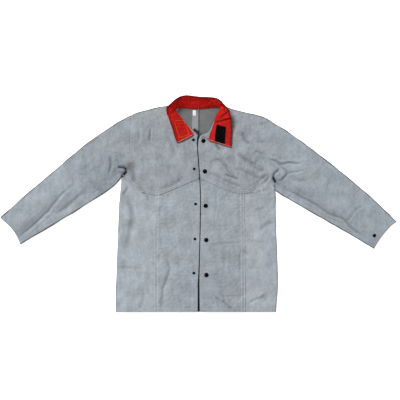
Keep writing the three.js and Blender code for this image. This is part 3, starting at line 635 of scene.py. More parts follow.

# %% [markdown]
# The sleeves buckle at the armpits and keep long folds down to the cuffs. At the left armpit the leather
# has curled round on itself, and at the right one it closes over a hole, whose darkness is painted shade.

# %% Folds of the sleeves
LEFT_UPPER_MM = [
    (254, 170), (272, 165), (288, 160), (302, 150), (316, 149), (340, 153), (366, 150), (396, 153)
]
LEFT_UNDER_MM = [
    (296, 79), (310, 73), (331, 52), (368, 33), (430, 2), (493, -40), (543, -58), (580, -97), (656, -144)
]
CURL_MM = [
    (300, 152), (310, 141), (322, 131), (330, 121), (330, 107), (320, 95), (310, 88), (300, 90), (294, 97)
]
SLEEVE_FOLDS = [
    Fold([(-330, 180), (-330, 156), (-330, 138), (-334, 108)], 5, 5.4, 0.4, 1.5),
    Fold([(-305, 137), (-288, 136), (-277, 133), (-264, 122)], 5, 7.0, -0.5, 2.4),
    Fold([(-309, 168), (-303, 160), (-292, 150)], 4, 3.2, 0.4, 1.4),
    Fold([(-464, 74), (-513, 33), (-563, -28), (-615, -78), (-676, -129)], 5, 3.8, 0.5),
    Fold([(-408, 53), (-457, 20), (-495, -14), (-542, -45)], 8, 3.4, 0.2),
    Fold([(-352, 97), (-339, 60)], 5, 2.6, 0.4),
    Fold([(-440, 190), (-420, 150), (-424, 118)], 8, 2.4, 0.3),
    Fold(LEFT_UPPER_MM, 4, 4.8, 0.5, 1.1),
    Fold([(328, 104), (340, 113), (352, 118), (372, 121), (400, 128)], 4, 3.6, -0.4, 1.1),
    Fold(LEFT_UNDER_MM, 4, 4.8, -0.6, 1.2),
    Fold([(624, -7), (593, -20), (562, -58), (544, -76)], 4, 4.0, 0.5, 1.2),
    Fold([(340, 92), (386, 86), (420, 92)], 7, 2.4, 0.4),
]
CURL_FOLDS = [
    Fold(CURL_MM, 4.5, 5.0, 0, 1.2),
    Fold([(302, 138), (296, 124), (287, 116), (281, 105), (281, 95), (287, 82), (289, 70)], 5, 6.6, 0, 2.0),
    Fold([(276, 100), (280, 94), (285, 86), (289, 79)], 4.5, 5.0, 0, 3.2),
    Fold([(301, 122), (307, 112), (303, 104), (297, 108)], 4.5, 2.6, 0),
    Fold([(286, 76), (288, 60), (291, 44)], 4, 4.0, 0, 1.6),
]
# the dark of this hole is painted shade
ARMPIT_HOLES = [
    Fold([(-290, 100), (-281, 109), (-274, 116), (-268, 123)], 4.5, 6.0, 0, 9),
]
LEATHER_FOLDS = YOKE_FOLDS + FRONT_FOLDS + DARKER_PATCHES + SLEEVE_FOLDS + CURL_FOLDS + ARMPIT_HOLES
print("folds:", len(LEATHER_FOLDS))

# %% [markdown]
# ## The height that a fold adds
# A fold is a soft trough along a smooth line, with a swelling beside it, and it fades out at both ends.
# Sculpting it by hand would be hard to repeat, so its height is worked out from how far a point lies off
# the line.

# %% Relief of the leather
FADE_SHARE = 0.22  # of a fold's length, at each end
CREASE_POWER = 1.5  # 2 would round the bottom of a fold, 1 would make it a sharp groove
CORE_SHARE = 0.75  # of a fold's width, where shade gathers
SWELL_OFF = 1.9  # how far beside the line the leather swells, and how wide, as shares of a fold's width
SWELL_WIDTH = 1.2
LINE_STEPS = 6


def smooth_step(t):
    """From 0 to 1, easing at both ends."""
    t = np.clip(t, 0, 1)
    return t * t * (3 - 2 * t)


def smooth_line(points):
    """A curve through points, as closely spaced points."""
    rows = np.array(points, float)
    if len(rows) == 2:
        return rows
    padded = np.vstack([2 * rows[0] - rows[1], rows, 2 * rows[-1] - rows[-2]])
    line = []
    for a, b, c, d in zip(padded, padded[1:], padded[2:], padded[3:]):
        for t in np.arange(LINE_STEPS) / LINE_STEPS:
            squared = (2 * a - 5 * b + 4 * c - d) * t**2
            cubed = (3 * b - a - 3 * c + d) * t**3
            line.append((2 * b + (c - a) * t + squared + cubed) / 2)
    return np.vstack([line, rows[-1]])


def lengths_along(line):
    """How far along a line each of its points is."""
    steps = np.linalg.norm(np.diff(line, axis=0), axis=1)
    return np.concatenate([[0], np.cumsum(steps)])


def beside_line(line, x, y):
    """How far places lie off a line, with a sign for its two sides, and how far along it, from 0 to 1."""
    starts = lengths_along(line)
    nearest = np.full(x.shape, np.inf)
    aside = np.zeros(x.shape)
    along = np.zeros(x.shape)
    for a, b, start in zip(line, line[1:], starts):
        step = np.linalg.norm(b - a)
        way = (b - a) / step
        t = np.clip((x - a[0]) * way[0] + (y - a[1]) * way[1], 0, step)
        off_x = x - a[0] - t * way[0]
        off_y = y - a[1] - t * way[1]
        off = np.hypot(off_x, off_y)
        closer = off < nearest
        nearest = np.where(closer, off, nearest)
        aside = np.where(closer, np.sign(way[0] * off_y - way[1] * off_x) * off, aside)
        along = np.where(closer, (start + t) / starts[-1], along)
    return aside, along


def fold_shape(fold, x, y):
    """The height in millimetres that one fold adds at places in plan, and the shade painted in it."""
    aside, along = beside_line(smooth_line(fold.line), x, y)
    fade = smooth_step(along / FADE_SHARE) * smooth_step((1 - along) / FADE_SHARE)
    trough = np.exp(-(np.abs(aside / fold.width) ** CREASE_POWER))
    swollen_side = np.sign(fold.swell) * aside
    swelling = np.exp(-(((swollen_side - SWELL_OFF * fold.width) / (SWELL_WIDTH * fold.width)) ** 2))
    core = np.exp(-((aside / (CORE_SHARE * fold.width)) ** 2))
    height = fold.depth * fade * (abs(fold.swell) * swelling - trough)
    return height, max(fold.depth, 0) * fold.dark * fade * core


# %% [markdown]
# ## The restless surface of the hide
# The hide between the folds is never flat: random waves in many directions, always the same ones because
# their seed is fixed, give it a restless surface. Others make the lines of the folds wander a little.

# %% Waves of the hide
WAVE_SEED = 20
rng = np.random.default_rng(WAVE_SEED)
Wave = namedtuple("Wave", "along_x along_y phase height")


def random_waves(count, shortest, longest, height):
    """Waves of random direction and of lengths between two limits, longer ones higher."""
    waves = []
    for length in np.exp(rng.uniform(math.log(shortest), math.log(longest), count)):
        turn, phase = rng.uniform(0, 2 * math.pi, 2)
        pitch = 2 * math.pi / length
        each = height * math.sqrt(length / longest) * math.sqrt(2 / count)
        waves.append(Wave(pitch * math.cos(turn), pitch * math.sin(turn), phase, each))
    return waves


def wave_height(waves, x, y):
    """The sum of waves at places in plan."""
    return sum(w.height * np.sin(w.along_x * x + w.along_y * y + w.phase) for w in waves)


def folds_at(folds, x, y):
    """The height and the shade of all folds at places in plan, along lines that wander a little."""
    wandered_x, wandered_y = (place + wave_height(waves, x, y) for place, waves in zip((x, y), LINE_WANDER))
    heights, shades = zip(*[fold_shape(fold, wandered_x, wandered_y) for fold in folds])
    return sum(heights), sum(shades)


HIDE_WAVES = random_waves(count=16, shortest=45, longest=170, height=1.4)
PUCKER_WAVES = random_waves(count=26, shortest=11, longest=32, height=0.36)
LINE_WANDER = [random_waves(count=6, shortest=30, longest=90, height=0.8) for axis in "xy"]
EDGE_WAVES = random_waves(count=8, shortest=35, longest=120, height=0.7)
print("waves:", len(HIDE_WAVES), "long,", len(PUCKER_WAVES), "short")

# %% [markdown]
# ## Creasing the leather
# Every panel is creased by the same relief, so panels that lap stay one above the other. Where the
# leather rolls over a folded edge it can't be pushed straight up, so there it moves in and out a little
# in place of up and down, which takes the ruler-straight look off the outline. The folded edges get
# painted shade for the suede, and the troughs painted shade with the grime that lies in them.

# %% Panels
Panel = namedtuple("Panel", "node suede cut_mm rests_on levels", defaults=[SKIN_LEVELS])
FRONT_LEVELS = 4  # the fronts have larger faces than the other panels
PANELS = [
    Panel("yoke_right", "yoke_right", (300, 350), "back_right"),
    Panel("yoke_left", "yoke_left", (300, 350), "back_left"),
    Panel("front_right", "front_right", (200, 520), "back_right", FRONT_LEVELS),
    Panel("front_left", "front_left", (200, 520), "back_left", FRONT_LEVELS),
    Panel("side_right", "side", (180, 530), "back_right"),
    Panel("side_left", "side", (180, 530), "back_left"),
    Panel("sleeve_upper_right", "sleeve_upper_right", (520, 330), "sleeve_lower_right"),
    Panel("sleeve_upper_left", "sleeve_upper_left", (540, 330), "sleeve_lower_left"),
    Panel("sleeve_lower_right", "sleeve_lower_right", (400, 410), "sleeve_upper_right"),
    Panel("sleeve_lower_left", "sleeve_lower_left", (400, 420), "sleeve_upper_left"),
]
print("panels:", len(PANELS))

# %% [markdown]
# The outer end of the left yoke has been pulled up, and the side below it lies paler than the yoke. A
# normal tells which leather lies flat and which rolls over an edge: the higher it points, the flatter the
# leather.

# %% Leather skins
# painted shade where the leather rolls over a folded edge, for each kind of panel
EDGE_SHADE = {"yoke": 0.85, "sleeve": 0.85, "side": 0.45, "front": 0.45}
UP_FROM, UP_RUN = 0.2, 0.6  # how high a normal points where leather starts to face up, and how much more
EDGE_FROM, EDGE_RUN = 0.86, 0.12
ASIDE_RUN = 0.8
CREASE_SHADE_AND_GRIME = 0.055  # painted shade and grime in the troughs, for each millimetre of depth
PALEST = -0.8  # a number below zero makes the colour paler than the plain leather or cloth
YOKE_END_GRIME = -0.2
YOKE_END_BLUR_MM = 4


def mark_shade_and_grime(mesh, shade_and_grime):
    """Keeps one number for each vertex, the painted shade and grime that the materials darken by."""
    layer = mesh.attributes.new(SHADE_AND_GRIME, "FLOAT", "POINT")
    layer.data.foreach_set("value", np.clip(shade_and_grime, PALEST, 1).astype(np.float32))


def below_yoke_end(x, y):
    """How much places belong to the side below the outer end of the left yoke's seam, from 0 to 1."""
    aside, _ = beside_line(smooth_line(YOKE_END_MM), x, y)
    return smooth_step(-aside / YOKE_END_BLUR_MM) * (x > YOKE_END_MM[0][0])


def facing_up_of(mesh):
    """How much each vertex of a mesh faces up, from 0 to 1."""
    return smooth_step((normals_of(mesh)[:, 2] - UP_FROM) / UP_RUN)


def crease(skin, kind):
    """Pushes folds and waves into a skin, and marks the painted shade and grime on it."""
    points = points_of(skin.data) / MM
    normals = normals_of(skin.data)
    x, y = points[:, :2].T.copy()
    facing_up = facing_up_of(skin.data)
    facing_aside = 1 - smooth_step(np.abs(normals[:, 2]) / ASIDE_RUN)
    near_edge = 1 - smooth_step((normals[:, 2] - EDGE_FROM) / EDGE_RUN)
    folds, shade = folds_at(LEATHER_FOLDS, x, y)
    waves = wave_height(HIDE_WAVES, x, y) + wave_height(PUCKER_WAVES, x, y)
    points[:, 2] += facing_up * (folds + waves)
    points[:, :2] += (facing_aside * wave_height(EDGE_WAVES, x, y))[:, None] * normals[:, :2]
    # painted shade at folded edges, and painted shade with grime in the troughs
    shade_and_grime = EDGE_SHADE[kind] * near_edge + CREASE_SHADE_AND_GRIME * shade * facing_up
    if kind == "yoke":
        shade_and_grime += YOKE_END_GRIME * below_yoke_end(x, y)
    mark_shade_and_grime(skin.data, shade_and_grime)
    move_points(skin.data, points * MM)


def skin_area(skin):
    """The area of a skin in square metres."""
    return sum(face.area for face in skin.data.polygons)


skins = {}
cut_areas = {}
for panel in PANELS:
    skins[panel.node] = outer_skin(panel.node, "leather_" + panel.node, panel.levels)
    cut_areas[panel.node] = skin_area(skins[panel.node])
    crease(skins[panel.node], panel.node.split("_")[0])
print("creased", len(skins), "panels")

# %% [markdown]
# ## Finding the seams
# A seam runs along part of a panel's rim. Rather than type its points again, the script walks the rim of
# the skin: a seam is named by the places in plan where it starts and ends, with one on the way to tell
# which of the two ways round the rim is meant. Where a rim lies in two layers, the upper one is meant.

# %% Seam runs
Seam = namedtuple("Seam", "panel start via end")
SEAMS = {
    "yoke_right": Seam("yoke_right", (3, 92), (-158, 30), (-284, 104)),
    "yoke_left": Seam("yoke_left", (6, 92), (166, 36), (286, 53)),
    "length_right": Seam("front_right", (-167, -405), (-166, -135), (-164, 46)),
    "length_left": Seam("front_left", (176, -405), (174, -135), (172, 50)),
    "armhole_right": Seam("yoke_right", (-251, 327), (-257, 170), (-284, 104)),
    "armhole_left": Seam("yoke_left", (249, 316), (253, 170), (286, 53)),
    "elbow_right": Seam("sleeve_lower_right", (-500, 152), (-434, 95), (-367, 37)),
    "elbow_left": Seam("sleeve_lower_left", (480, 156), (418, 85), (355, 13)),
    "cuff_right": Seam("sleeve_lower_right", (-738, -56), (-699, -92), (-668, -147)),
    "cuff_left": Seam("sleeve_lower_left", (738, -70), (718, -84), (659, -163)),
    "hem_front_right": Seam("front_right", (-3, -405), (-80, -405), (-167, -405)),
    "hem_front_left": Seam("front_left", (5, -405), (80, -405), (176, -405)),
    "hem_side_right": Seam("side_right", (-155, -405), (-230, -405), (-306, -405)),
    "hem_side_left": Seam("side_left", (164, -405), (230, -405), (284, -405)),
}


def off_place(points, place_mm):
    """How far points lie in plan from one place, in millimetres."""
    return np.hypot(*(points[:, :2] / MM - place_mm).T)


def seam_run(seam):
    """The vertices of a panel's rim along one seam, as places in metres."""
    mesh = skins[seam.panel].data
    points = points_of(mesh)
    runs = []
    for loop in boundary_loops(mesh):
        rim = points[loop]
        first, last = [int(np.argmin(off_place(rim, place))) for place in (seam.start, seam.end)]
        onward = first + np.arange((last - first) % len(rim) + 1)
        backward = first - np.arange((first - last) % len(rim) + 1)
        for way in (onward, backward):
            run = rim[way % len(rim)]
            ends = off_place(run[[0, -1]], (seam.start, seam.end)).sum()
            miss = off_place(run, seam.via).min()
            runs.append((ends + miss - run[:, 2].mean() / MM, run))
    return min(runs, key=lambda scored: scored[0])[1]


print("seams:", ", ".join(SEAMS))

# %% [markdown]
# ## Pressing the laps down
# The panels of the frame keep a safe distance where they lap. On the jacket the edge of the upper panel
# is skived, which means pared thin with a knife, and sewn down hard, so that it stands only a little
# proud. So the upper panel is lowered by what is too much, with a correction that fades out behind the
# seam, and its outside runs down to a thin edge so gently that no step shows. How thick it stays is kept
# as a vertex group. At the armhole the sleeve is brought to the height of the yoke in the same way.

# %% Pressed laps
LEATHER_MM = 1.5
LAP_AIR_MM = 0.25
LAP_FLAT_MM = 14
LAP_FADE_MM = 70
SKIVE_WIDTH_MM = 40
SKIVED_MM = 0.3
MOST_STEP_MM = 4
EVENED_POINTS = 9  # of a run, over which a drop is evened out
THICKNESS = "thickness"


def skive(seam):
    """Pares the edge of a seam's panel down to the leather under it."""
    skin = skins[seam.panel]
    points = points_of(skin.data)
    line = seam_run(seam)[:, :2] / MM
    aside, _ = beside_line(line, points[:, 0] / MM, points[:, 1] / MM)
    pared = (1 - smooth_step(np.abs(aside) / SKIVE_WIDTH_MM)) * facing_up_of(skin.data)
    points[:, 2] -= (LEATHER_MM - SKIVED_MM) * pared * MM
    move_points(skin.data, points)
    group = skin.vertex_groups.new(name=THICKNESS)
    for vertex, share in enumerate(1 - pared):
        group.add([vertex], share, "REPLACE")


def lower_beside(mesh, run, drop_mm):
    """Lowers a panel beside a run of points, by its own drop at each of them, fading out behind the run."""
    padded = np.pad(drop_mm, EVENED_POINTS // 2, "edge")
    drop_mm = np.convolve(padded, np.ones(EVENED_POINTS) / EVENED_POINTS, "valid")
    points = points_of(mesh)
    aside, along = beside_line(run[:, :2] / MM, points[:, 0] / MM, points[:, 1] / MM)
    marks = lengths_along(run[:, :2])
    drop = np.interp(along * marks[-1], marks, drop_mm)
    share = 1 - smooth_step((np.abs(aside) - LAP_FLAT_MM) / LAP_FADE_MM)
    points[:, 2] -= drop * share * facing_up_of(mesh) * MM
    move_points(mesh, points)


def press_lap(seam, *lower):
    """Lowers the panel of a seam until its edge lies on the panels under it."""
    run = seam_run(seam)
    under = surface_of(*[skins[name] for name in lower])
    spare = []
    for place in run:
        hit = under.ray_cast(Vector(place), DOWN)[0]
        spare.append((place[2] - hit.z) / MM - LEATHER_MM - LAP_AIR_MM if hit else 0)
    lower_beside(skins[seam.panel].data, run, np.maximum(spare, 0))
    print("pressed", seam.panel, "by up to", round(max(spare), 2), "mm")


def level(node, seam):
    """Brings the edge of a panel to the height of the edge that it is sewn to."""
    run = seam_run(seam)
    edge = surface_of(skins[node])
    step = [(edge.find_nearest(Vector(place))[0].z - place[2]) / MM for place in run]
    lower_beside(skins[node].data, run, np.clip(step, -MOST_STEP_MM, MOST_STEP_MM))
    print("levelled", node, "by", round(min(step), 2), "to", round(max(step), 2), "mm")


for hand in HANDS:
    for seam, lower in (("length_", ["side_"]), ("yoke_", ["front_", "side_"])):
        press_lap(SEAMS[seam + hand], *[name + hand for name in lower])
        skive(SEAMS[seam + hand])
    level("sleeve_upper_" + hand, SEAMS["armhole_" + hand])
surfaces = {node: surface_of(skin) for node, skin in skins.items()}
runs = {name: seam_run(seam) for name, seam in SEAMS.items()}

# %% [markdown]
# ## Seam allowances
# Where two panels meet edge to edge the frame leaves a hair's gap, through which the dark inside would
# show. On the jacket one panel runs on over or under the other. So the edge of the yoke at the armhole,
# and that of the lower sleeve at the elbow, run on a little over the panel that they are sewn to and end
# inside its wall. The outer end of the yoke runs on over the side, and the side gets a tongue that runs
# under the yoke. Each step of an edge says how far it reaches and how high it stands.

# %% Rims carried on
Carry = namedtuple("Carry", "reach rise")
LAPPED = [Carry(1.6, 0.3), Carry(3.4, -0.9)]
LAPPED_FURTHER = [Carry(2.6, 0.3), Carry(5.0, -0.9)]
TUCKED = [Carry(0.8, -1.9), Carry(9.8, -1.9)]
RUN_REACH_MM = 3
TONGUE_REACH_MM = 9
YOKE_LAP_FROM_MM = 205
UPWARD = 0.3  # the least height of a normal on a rim that is carried on


def carry_on(node, steps, on_rim, onto=None):
    """Extends the rim of a skin where it faces up, freely or along a surface that it is sewn to."""
    mesh = skins[node].data
    grid = bmesh.new()
    grid.from_mesh(mesh)
    rim = {v for v in grid.verts if v.is_boundary and v.normal.z > UPWARD and on_rim(v.co / MM)}
    rim_edges = [e for e in grid.edges if e.is_boundary and all(v in rim for v in e.verts)]
    ahead = {}
    for v in {v for e in rim_edges for v in e.verts}:
        behind = [face.calc_center_median() for face in v.link_faces]
        way = (v.co - sum(behind, Vector()) / len(behind)).normalized()
        ahead[v] = (v.co.copy(), way, v.normal.copy())
    for step in steps:
        made = bmesh.ops.extrude_edge_only(grid, edges=rim_edges)["geom"]
        moved = {}
        for v in (v for v in made if isinstance(v, bmesh.types.BMVert)):
            source = next(e.other_vert(v) for e in v.link_edges if e.other_vert(v) in ahead)
            moved[v] = ahead[source]
            start, way, up = ahead[source]
            place = start + way * step.reach * MM
            if onto:
                place, up = onto.find_nearest(place)[:2]
            v.co = place + up * step.rise * MM
        ahead = moved
        new_edges = [e for e in made if isinstance(e, bmesh.types.BMEdge)]
        rim_edges = [e for e in new_edges if all(v in moved for v in e.verts)]
    grid.to_mesh(mesh)
    grid.free()
    mesh.update()
    print("carried on", node, "at", len(ahead), "points")


def beside_run(name, reach_mm=RUN_REACH_MM, from_mm=0):
    """Tells whether a place in millimetres is on the run of a seam, and from_mm or more off the middle."""
    return lambda p: abs(p.x) >= from_mm and off_place(runs[name], (p.x, p.y)).min() < reach_mm


for hand in HANDS:
    yoke = "yoke_" + hand
    sleeve_upper = surfaces["sleeve_upper_" + hand]
    carry_on(yoke, LAPPED, beside_run("armhole_" + hand), sleeve_upper)
    carry_on("sleeve_lower_" + hand, LAPPED, beside_run("elbow_" + hand), sleeve_upper)
    carry_on("side_" + hand, TUCKED, beside_run(yoke, reach_mm=TONGUE_REACH_MM))
    carry_on(yoke, LAPPED_FURTHER, beside_run(yoke, from_mm=YOKE_LAP_FROM_MM), surfaces["side_" + hand])

# %% [markdown]
# ## The thickness of the leather
# Solidify gives each skin its wall, inwards, so that the outside stays where it is. Each panel then
# prints its area and its share of the piece of hide that it was cut from.

# %% Leather panels
def thicken(piece, thick_mm, cut_mm, area):
    walls = {"thickness": thick_mm * MM, "offset": -1}
    if THICKNESS in piece.vertex_groups:
        walls.update(vertex_group=THICKNESS, thickness_vertex_group=SKIVED_MM / LEATHER_MM)
    apply_modifier(piece, "SOLIDIFY", **walls)
    move_points(piece.data, np.maximum(points_of(piece.data), (-np.inf, -np.inf, 0)))
    cut = [side * MM for side in cut_mm]
    share = area / (cut[0] * cut[1])
    print(piece.name, len(piece.data.polygons), "faces, cut", round(area, 4), "m2, share", round(share, 2))


for panel in PANELS:
    leather = skins[panel.node]
    thicken(leather, LEATHER_MM, panel.cut_mm, cut_areas[panel.node])
    finish_piece(leather, SUEDES[panel.suede], [panel.node])

# %% [markdown]
# ## The back
# The two back panels lie flat on the floor with their inside up. Only a little of them shows, in the
# neck, where they are in shade: their colour is dark to paint that shade. They are dressed as the other
# panels are, without folds, and their neck edge runs on a little under the collar. Further down they are
# seen only through the narrow slit between the fronts, where no light reaches: there their colour is
# darkened with painted shade. A painted shadow runs down the middle seam, along the edge of the strip,
# and another lies where the top of the front stands off the back and throws a shadow.

# %% Back panels
BACK_CUT_MM = (320, 780)
BACK_LEVELS = 2
SLIT_TOP_MM = 250
SLIT_FADE_MM = 40
SLIT_SHADE = (0.65, 0.97)  # painted shade, just under the neck and at the hem
HEM_MM = -405
NECK_SHADOW_MM = [(-15, 277), (-4, 268), (3, 258), (1, 246)]
NECK_SHADOW_WIDTH_MM = 5
NECK_SHADOW_DARK = 1.5
# a painted shadow along the edge of the strip, down the middle seam
BACK_SEAM_MM = 0.5
BACK_SEAM_WIDTH_MM = 2
BACK_SEAM_SHADOW = 0.5
UNDER_COLLAR = [Carry(6, 0)]
NECK_SIDE_MM = 40
NECK_LOW_MM = 335


def paint_slit_shade(mesh):
    """Paints shade behind the slit of the front, most near the hem, and shadows at the neck and middle
    seam.
    """
    x, y = points_of(mesh)[:, :2].T / MM
    shut = smooth_step((SLIT_TOP_MM - y) / SLIT_FADE_MM)
    depth = smooth_step((SLIT_TOP_MM - y) / (SLIT_TOP_MM - HEM_MM))
    aside, _ = beside_line(smooth_line(NECK_SHADOW_MM), x, y)
    neck_shadow = NECK_SHADOW_DARK * np.exp(-((aside / NECK_SHADOW_WIDTH_MM) ** 2))
    back_seam = BACK_SEAM_SHADOW * np.exp(-(((x - BACK_SEAM_MM) / BACK_SEAM_WIDTH_MM) ** 2))
    slit = shut * (SLIT_SHADE[0] + (SLIT_SHADE[1] - SLIT_SHADE[0]) * depth)
    mark_shade_and_grime(mesh, slit + neck_shadow + back_seam)


for hand in HANDS:
    node = "back_" + hand
    back = outer_skin(node, "leather_" + node, BACK_LEVELS, "SIMPLE")
    back_area = skin_area(back)
    paint_slit_shade(back.data)
    skins[node] = back
    carry_on(node, UNDER_COLLAR, lambda p: abs(p.x) > NECK_SIDE_MM and p.y > NECK_LOW_MM)
    thicken(back, LEATHER_MM, BACK_CUT_MM, back_area)
    finish_piece(back, SUEDES["inside"], [node])

# %% [markdown]
# ## Strip and label in the neck
# A strip of leather is sewn over the seam down the middle of the back, and a small blank tape label sits
# at its top. Both start from a cube at the size of their node: its upper face is inset and lowered a
# little, so that the raised border reads as a turned edge, and its edges are bevelled. Cuts across it
# both ways give the painted shade and shadows on the strip enough points to be smooth.

# %% Strip and label
STRIP_CELL_MM = 2.5
STRIP_EDGE_DEGREES = 40


def flat_strip(node, border_mm, sunk_mm, bevel_mm):
    """A flat strip with a turned edge, in the place of one node."""
    low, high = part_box(node)
    bpy.ops.object.select_all(action="DESELECT")
    bpy.ops.mesh.primitive_cube_add(size=1, location=(low + high) / 2, scale=high - low)
    strip = bpy.context.object
    strip.name = "trim_" + node
    bpy.ops.object.transform_apply(location=True, rotation=True, scale=True)
    bpy.ops.object.mode_set(mode="EDIT")
    select_faces(strip, faces_up)
    bpy.ops.mesh.inset(thickness=border_mm * MM, depth=-sunk_mm * MM)
    for way, first, last in (((1, 0, 0), low.x, high.x), ((0, 1, 0), low.y, high.y)):
        for cut in np.arange(first, last, STRIP_CELL_MM * MM)[1:]:
            bpy.ops.mesh.select_all(action="SELECT")
            bpy.ops.mesh.bisect(plane_co=Vector(way) * cut, plane_no=way)
    bpy.ops.object.mode_set(mode="OBJECT")
    apply_modifier(strip, "BEVEL", width=bevel_mm * MM, segments=2, limit_method="ANGLE")
    only(strip)
    bpy.ops.object.shade_smooth_by_angle(angle=math.radians(STRIP_EDGE_DEGREES))
    return strip


seam_strip = flat_strip("back_seam_strip", border_mm=3, sunk_mm=0.3, bevel_mm=0.3)
paint_slit_shade(seam_strip.data)
finish_piece(seam_strip, SUEDES["strip"], ["back_seam_strip"])
neck_label = flat_strip("neck_label", border_mm=1.2, sunk_mm=0.12, bevel_mm=0.1)
finish_piece(neck_label, LABEL_TAPE, ["neck_label"])

# %% [markdown]
# ## The collar
# The collar is a doubled strip of drill, sewn to the neck and turned over at its ends. It lies creased:
# the wearer's left leaf has a sharp crease above its patch of hook tape, and both leaves buckle where
# they stand up to the back of the neck. It is made from its skin as the leather is, but moved along its
# own normals, because its back stands. A bevel rounds its folded edges. Its creases and rim get painted
# shade, and its standing back painted light that makes its red paler. Patches are folds of no depth to
# speak of: they paint shade on the left leaf, most along its inner edge, and light on the bend of the
# right one.

# %% Collar
COLLAR_MM = 2.4
COLLAR_CUT_MM = (75, 500)
COLLAR_FOLDS = [
    Fold([(54, 302), (88, 308), (128, 317)], 4, 4.0, 0.7, 1.4),
    Fold([(72, 311), (94, 329), (120, 350)], 4.5, 3.4, 0.6, 1.2),
    Fold([(82, 373), (96, 361), (112, 348)], 4.5, 3.6, 0.5, 1.4),
    Fold([(-118, 354), (-100, 364), (-82, 377)], 4.5, 3.8, 0.5, 1.4),
    Fold([(-108, 330), (-86, 345)], 5, 2.2, 0.4),
    Fold([(-58, 381), (-20, 384), (20, 383), (62, 377)], 8, 1.8, 0.3),
    Fold([(-30, 396), (-22, 372)], 6, 1.8, 0.4),
    Fold([(38, 392), (34, 370)], 6, 1.8, 0.4),
    Fold([(104, 268), (118, 236)], 7, 2.2, 0.4),
    # the last three are shallow, and paint shade in the bends of the leaves
    Fold([(66, 396), (92, 384), (112, 362)], 4, 1.8, 0, 8),
    Fold([(81, 372), (93, 358), (97, 340)], 4, 1.8, 0, 7),
    Fold([(-58, 394), (-76, 380), (-84, 362)], 4.5, 1.8, 0, 8),
]
# painted shade on the left leaf, most along its inner edge, and painted light on the bend of the right one
COLLAR_PAINTED_PATCHES = [
    Fold([(66, 356), (84, 284), (104, 180)], 60, 0.02, 0, 140),
    Fold([(74, 362), (52, 300), (30, 215)], 9, 0.02, 0, 230),
    Fold([(-118, 296), (-100, 338), (-76, 380)], 22, 0.02, 0, -240),
]
COLLAR_SEAMS = {
    "collar_edge": Seam("collar", (-80, 227), (5, 399), (122, 211)),
    "collar_end_right": Seam("collar", (-15, 259), (-48, 243), (-80, 227)),
    "collar_end_left": Seam("collar", (36, 238), (79, 225), (122, 211)),
}
COLLAR_CREASE_SHADE = 0.07  # painted shade in the creases, for each millimetre of depth
# painted shade along the rim, where the collar rolls over
COLLAR_RIM_SHADE = 0.9
COLLAR_RIM_MM = 5
BAND_LIGHT = -0.75  # painted light: the standing back faces away from the sun, so its red is made paler
BAND_LOW_MM = 350
BAND_RUN_MM = 16

collar = outer_skin("collar", "cloth_collar")
skins["collar"] = collar
collar_area = skin_area(collar)
collar_points = points_of(collar.data) / MM
collar_plan = collar_points[:, :2].T
collar_folds, collar_shade = folds_at(COLLAR_FOLDS + COLLAR_PAINTED_PATCHES, *collar_plan)
collar_relief = collar_folds + wave_height(PUCKER_WAVES, *collar_plan)
collar_band = smooth_step((collar_plan[1] - BAND_LOW_MM) / BAND_RUN_MM)
off_rim, _ = beside_line(seam_run(COLLAR_SEAMS["collar_edge"])[:, :2] / MM, *collar_plan)
near_rim = np.exp(-((off_rim / COLLAR_RIM_MM) ** 2))
# painted light on the standing back, painted shade along the rim
collar_light_and_shade = BAND_LIGHT * collar_band * (1 - near_rim) + COLLAR_RIM_SHADE * near_rim
mark_shade_and_grime(collar.data, COLLAR_CREASE_SHADE * collar_shade + collar_light_and_shade)
move_points(collar.data, (collar_points + normals_of(collar.data) * collar_relief[:, None]) * MM)
surfaces["collar"] = surface_of(collar)

# %% [markdown]
# The rim of the skin is needed for sewing, so the runs along it are kept before it gets its thickness.

# %% Collar wall
COLLAR_BEVEL_MM = 0.7
COLLAR_EDGE_DEGREES = 60

runs.update({name: seam_run(seam) for name, seam in COLLAR_SEAMS.items()})
thicken(collar, COLLAR_MM, COLLAR_CUT_MM, collar_area)
rounding = {"width": COLLAR_BEVEL_MM * MM, "segments": 2, "angle_limit": math.radians(COLLAR_EDGE_DEGREES)}
apply_modifier(collar, "BEVEL", limit_method="ANGLE", **rounding)
finish_piece(collar, RED_DRILL, ["collar"])

# %% [markdown]
# ## Hook and loop tape
# The collar closes with a patch of black hook tape on the wearer's left leaf and a patch of loop under
# the right one. Each patch starts from its node's skin and is laid on the creased collar point by point.

# %% Tape patches
PATCH_MM = 1.2
PATCH_AIR_MM = 0.2
Patch = namedtuple("Patch", "node over_mm material cut_mm")
PATCHES = [
    Patch("hook_patch", PATCH_AIR_MM + PATCH_MM, HOOK_TAPE, (45, 62)),
    Patch("loop_patch", -COLLAR_MM - PATCH_AIR_MM, LOOP_TAPE, (40, 55)),
]


def lie_on_collar(skin, over_mm):
    """Lays a patch along the creased collar, at a height over its upper face."""
    places = []
    for point in points_of(skin.data):
        place, normal = surfaces["collar"].find_nearest(Vector(point))[:2]
        places.append(place + normal * over_mm * MM)
    move_points(skin.data, places)


for patch in PATCHES:
    tape = outer_skin(patch.node, "tape_" + patch.node)
    lie_on_collar(tape, patch.over_mm)
    skins[patch.node] = tape
    surfaces[patch.node] = surface_of(tape)

# %% [markdown]
# ## Many thin tubes
# Hooks and stitches are short thin tubes, hundreds of them alike. Modelling one and copying it would make
# hundreds of objects, so all tubes of a kind are built from arrays as one mesh: rings of points round the
# middle of each tube, joined by faces.

# %% Thin tubes
def tube_faces(count, rings, sides):
    """The faces of many tubes alike, each closed at both ends, whose vertices lie ring after ring."""
    faces = []
    for start in range(0, count * rings * sides, rings * sides):
        for ring in range(rings - 1):
            low = start + ring * sides
            for side in range(sides):
                on = (side + 1) % sides
                faces.append((low + side, low + on, low + sides + on, low + sides + side))
        faces.append(tuple(start + side for side in reversed(range(sides))))
        faces.append(tuple(start + (rings - 1) * sides + side for side in range(sides)))
    return faces


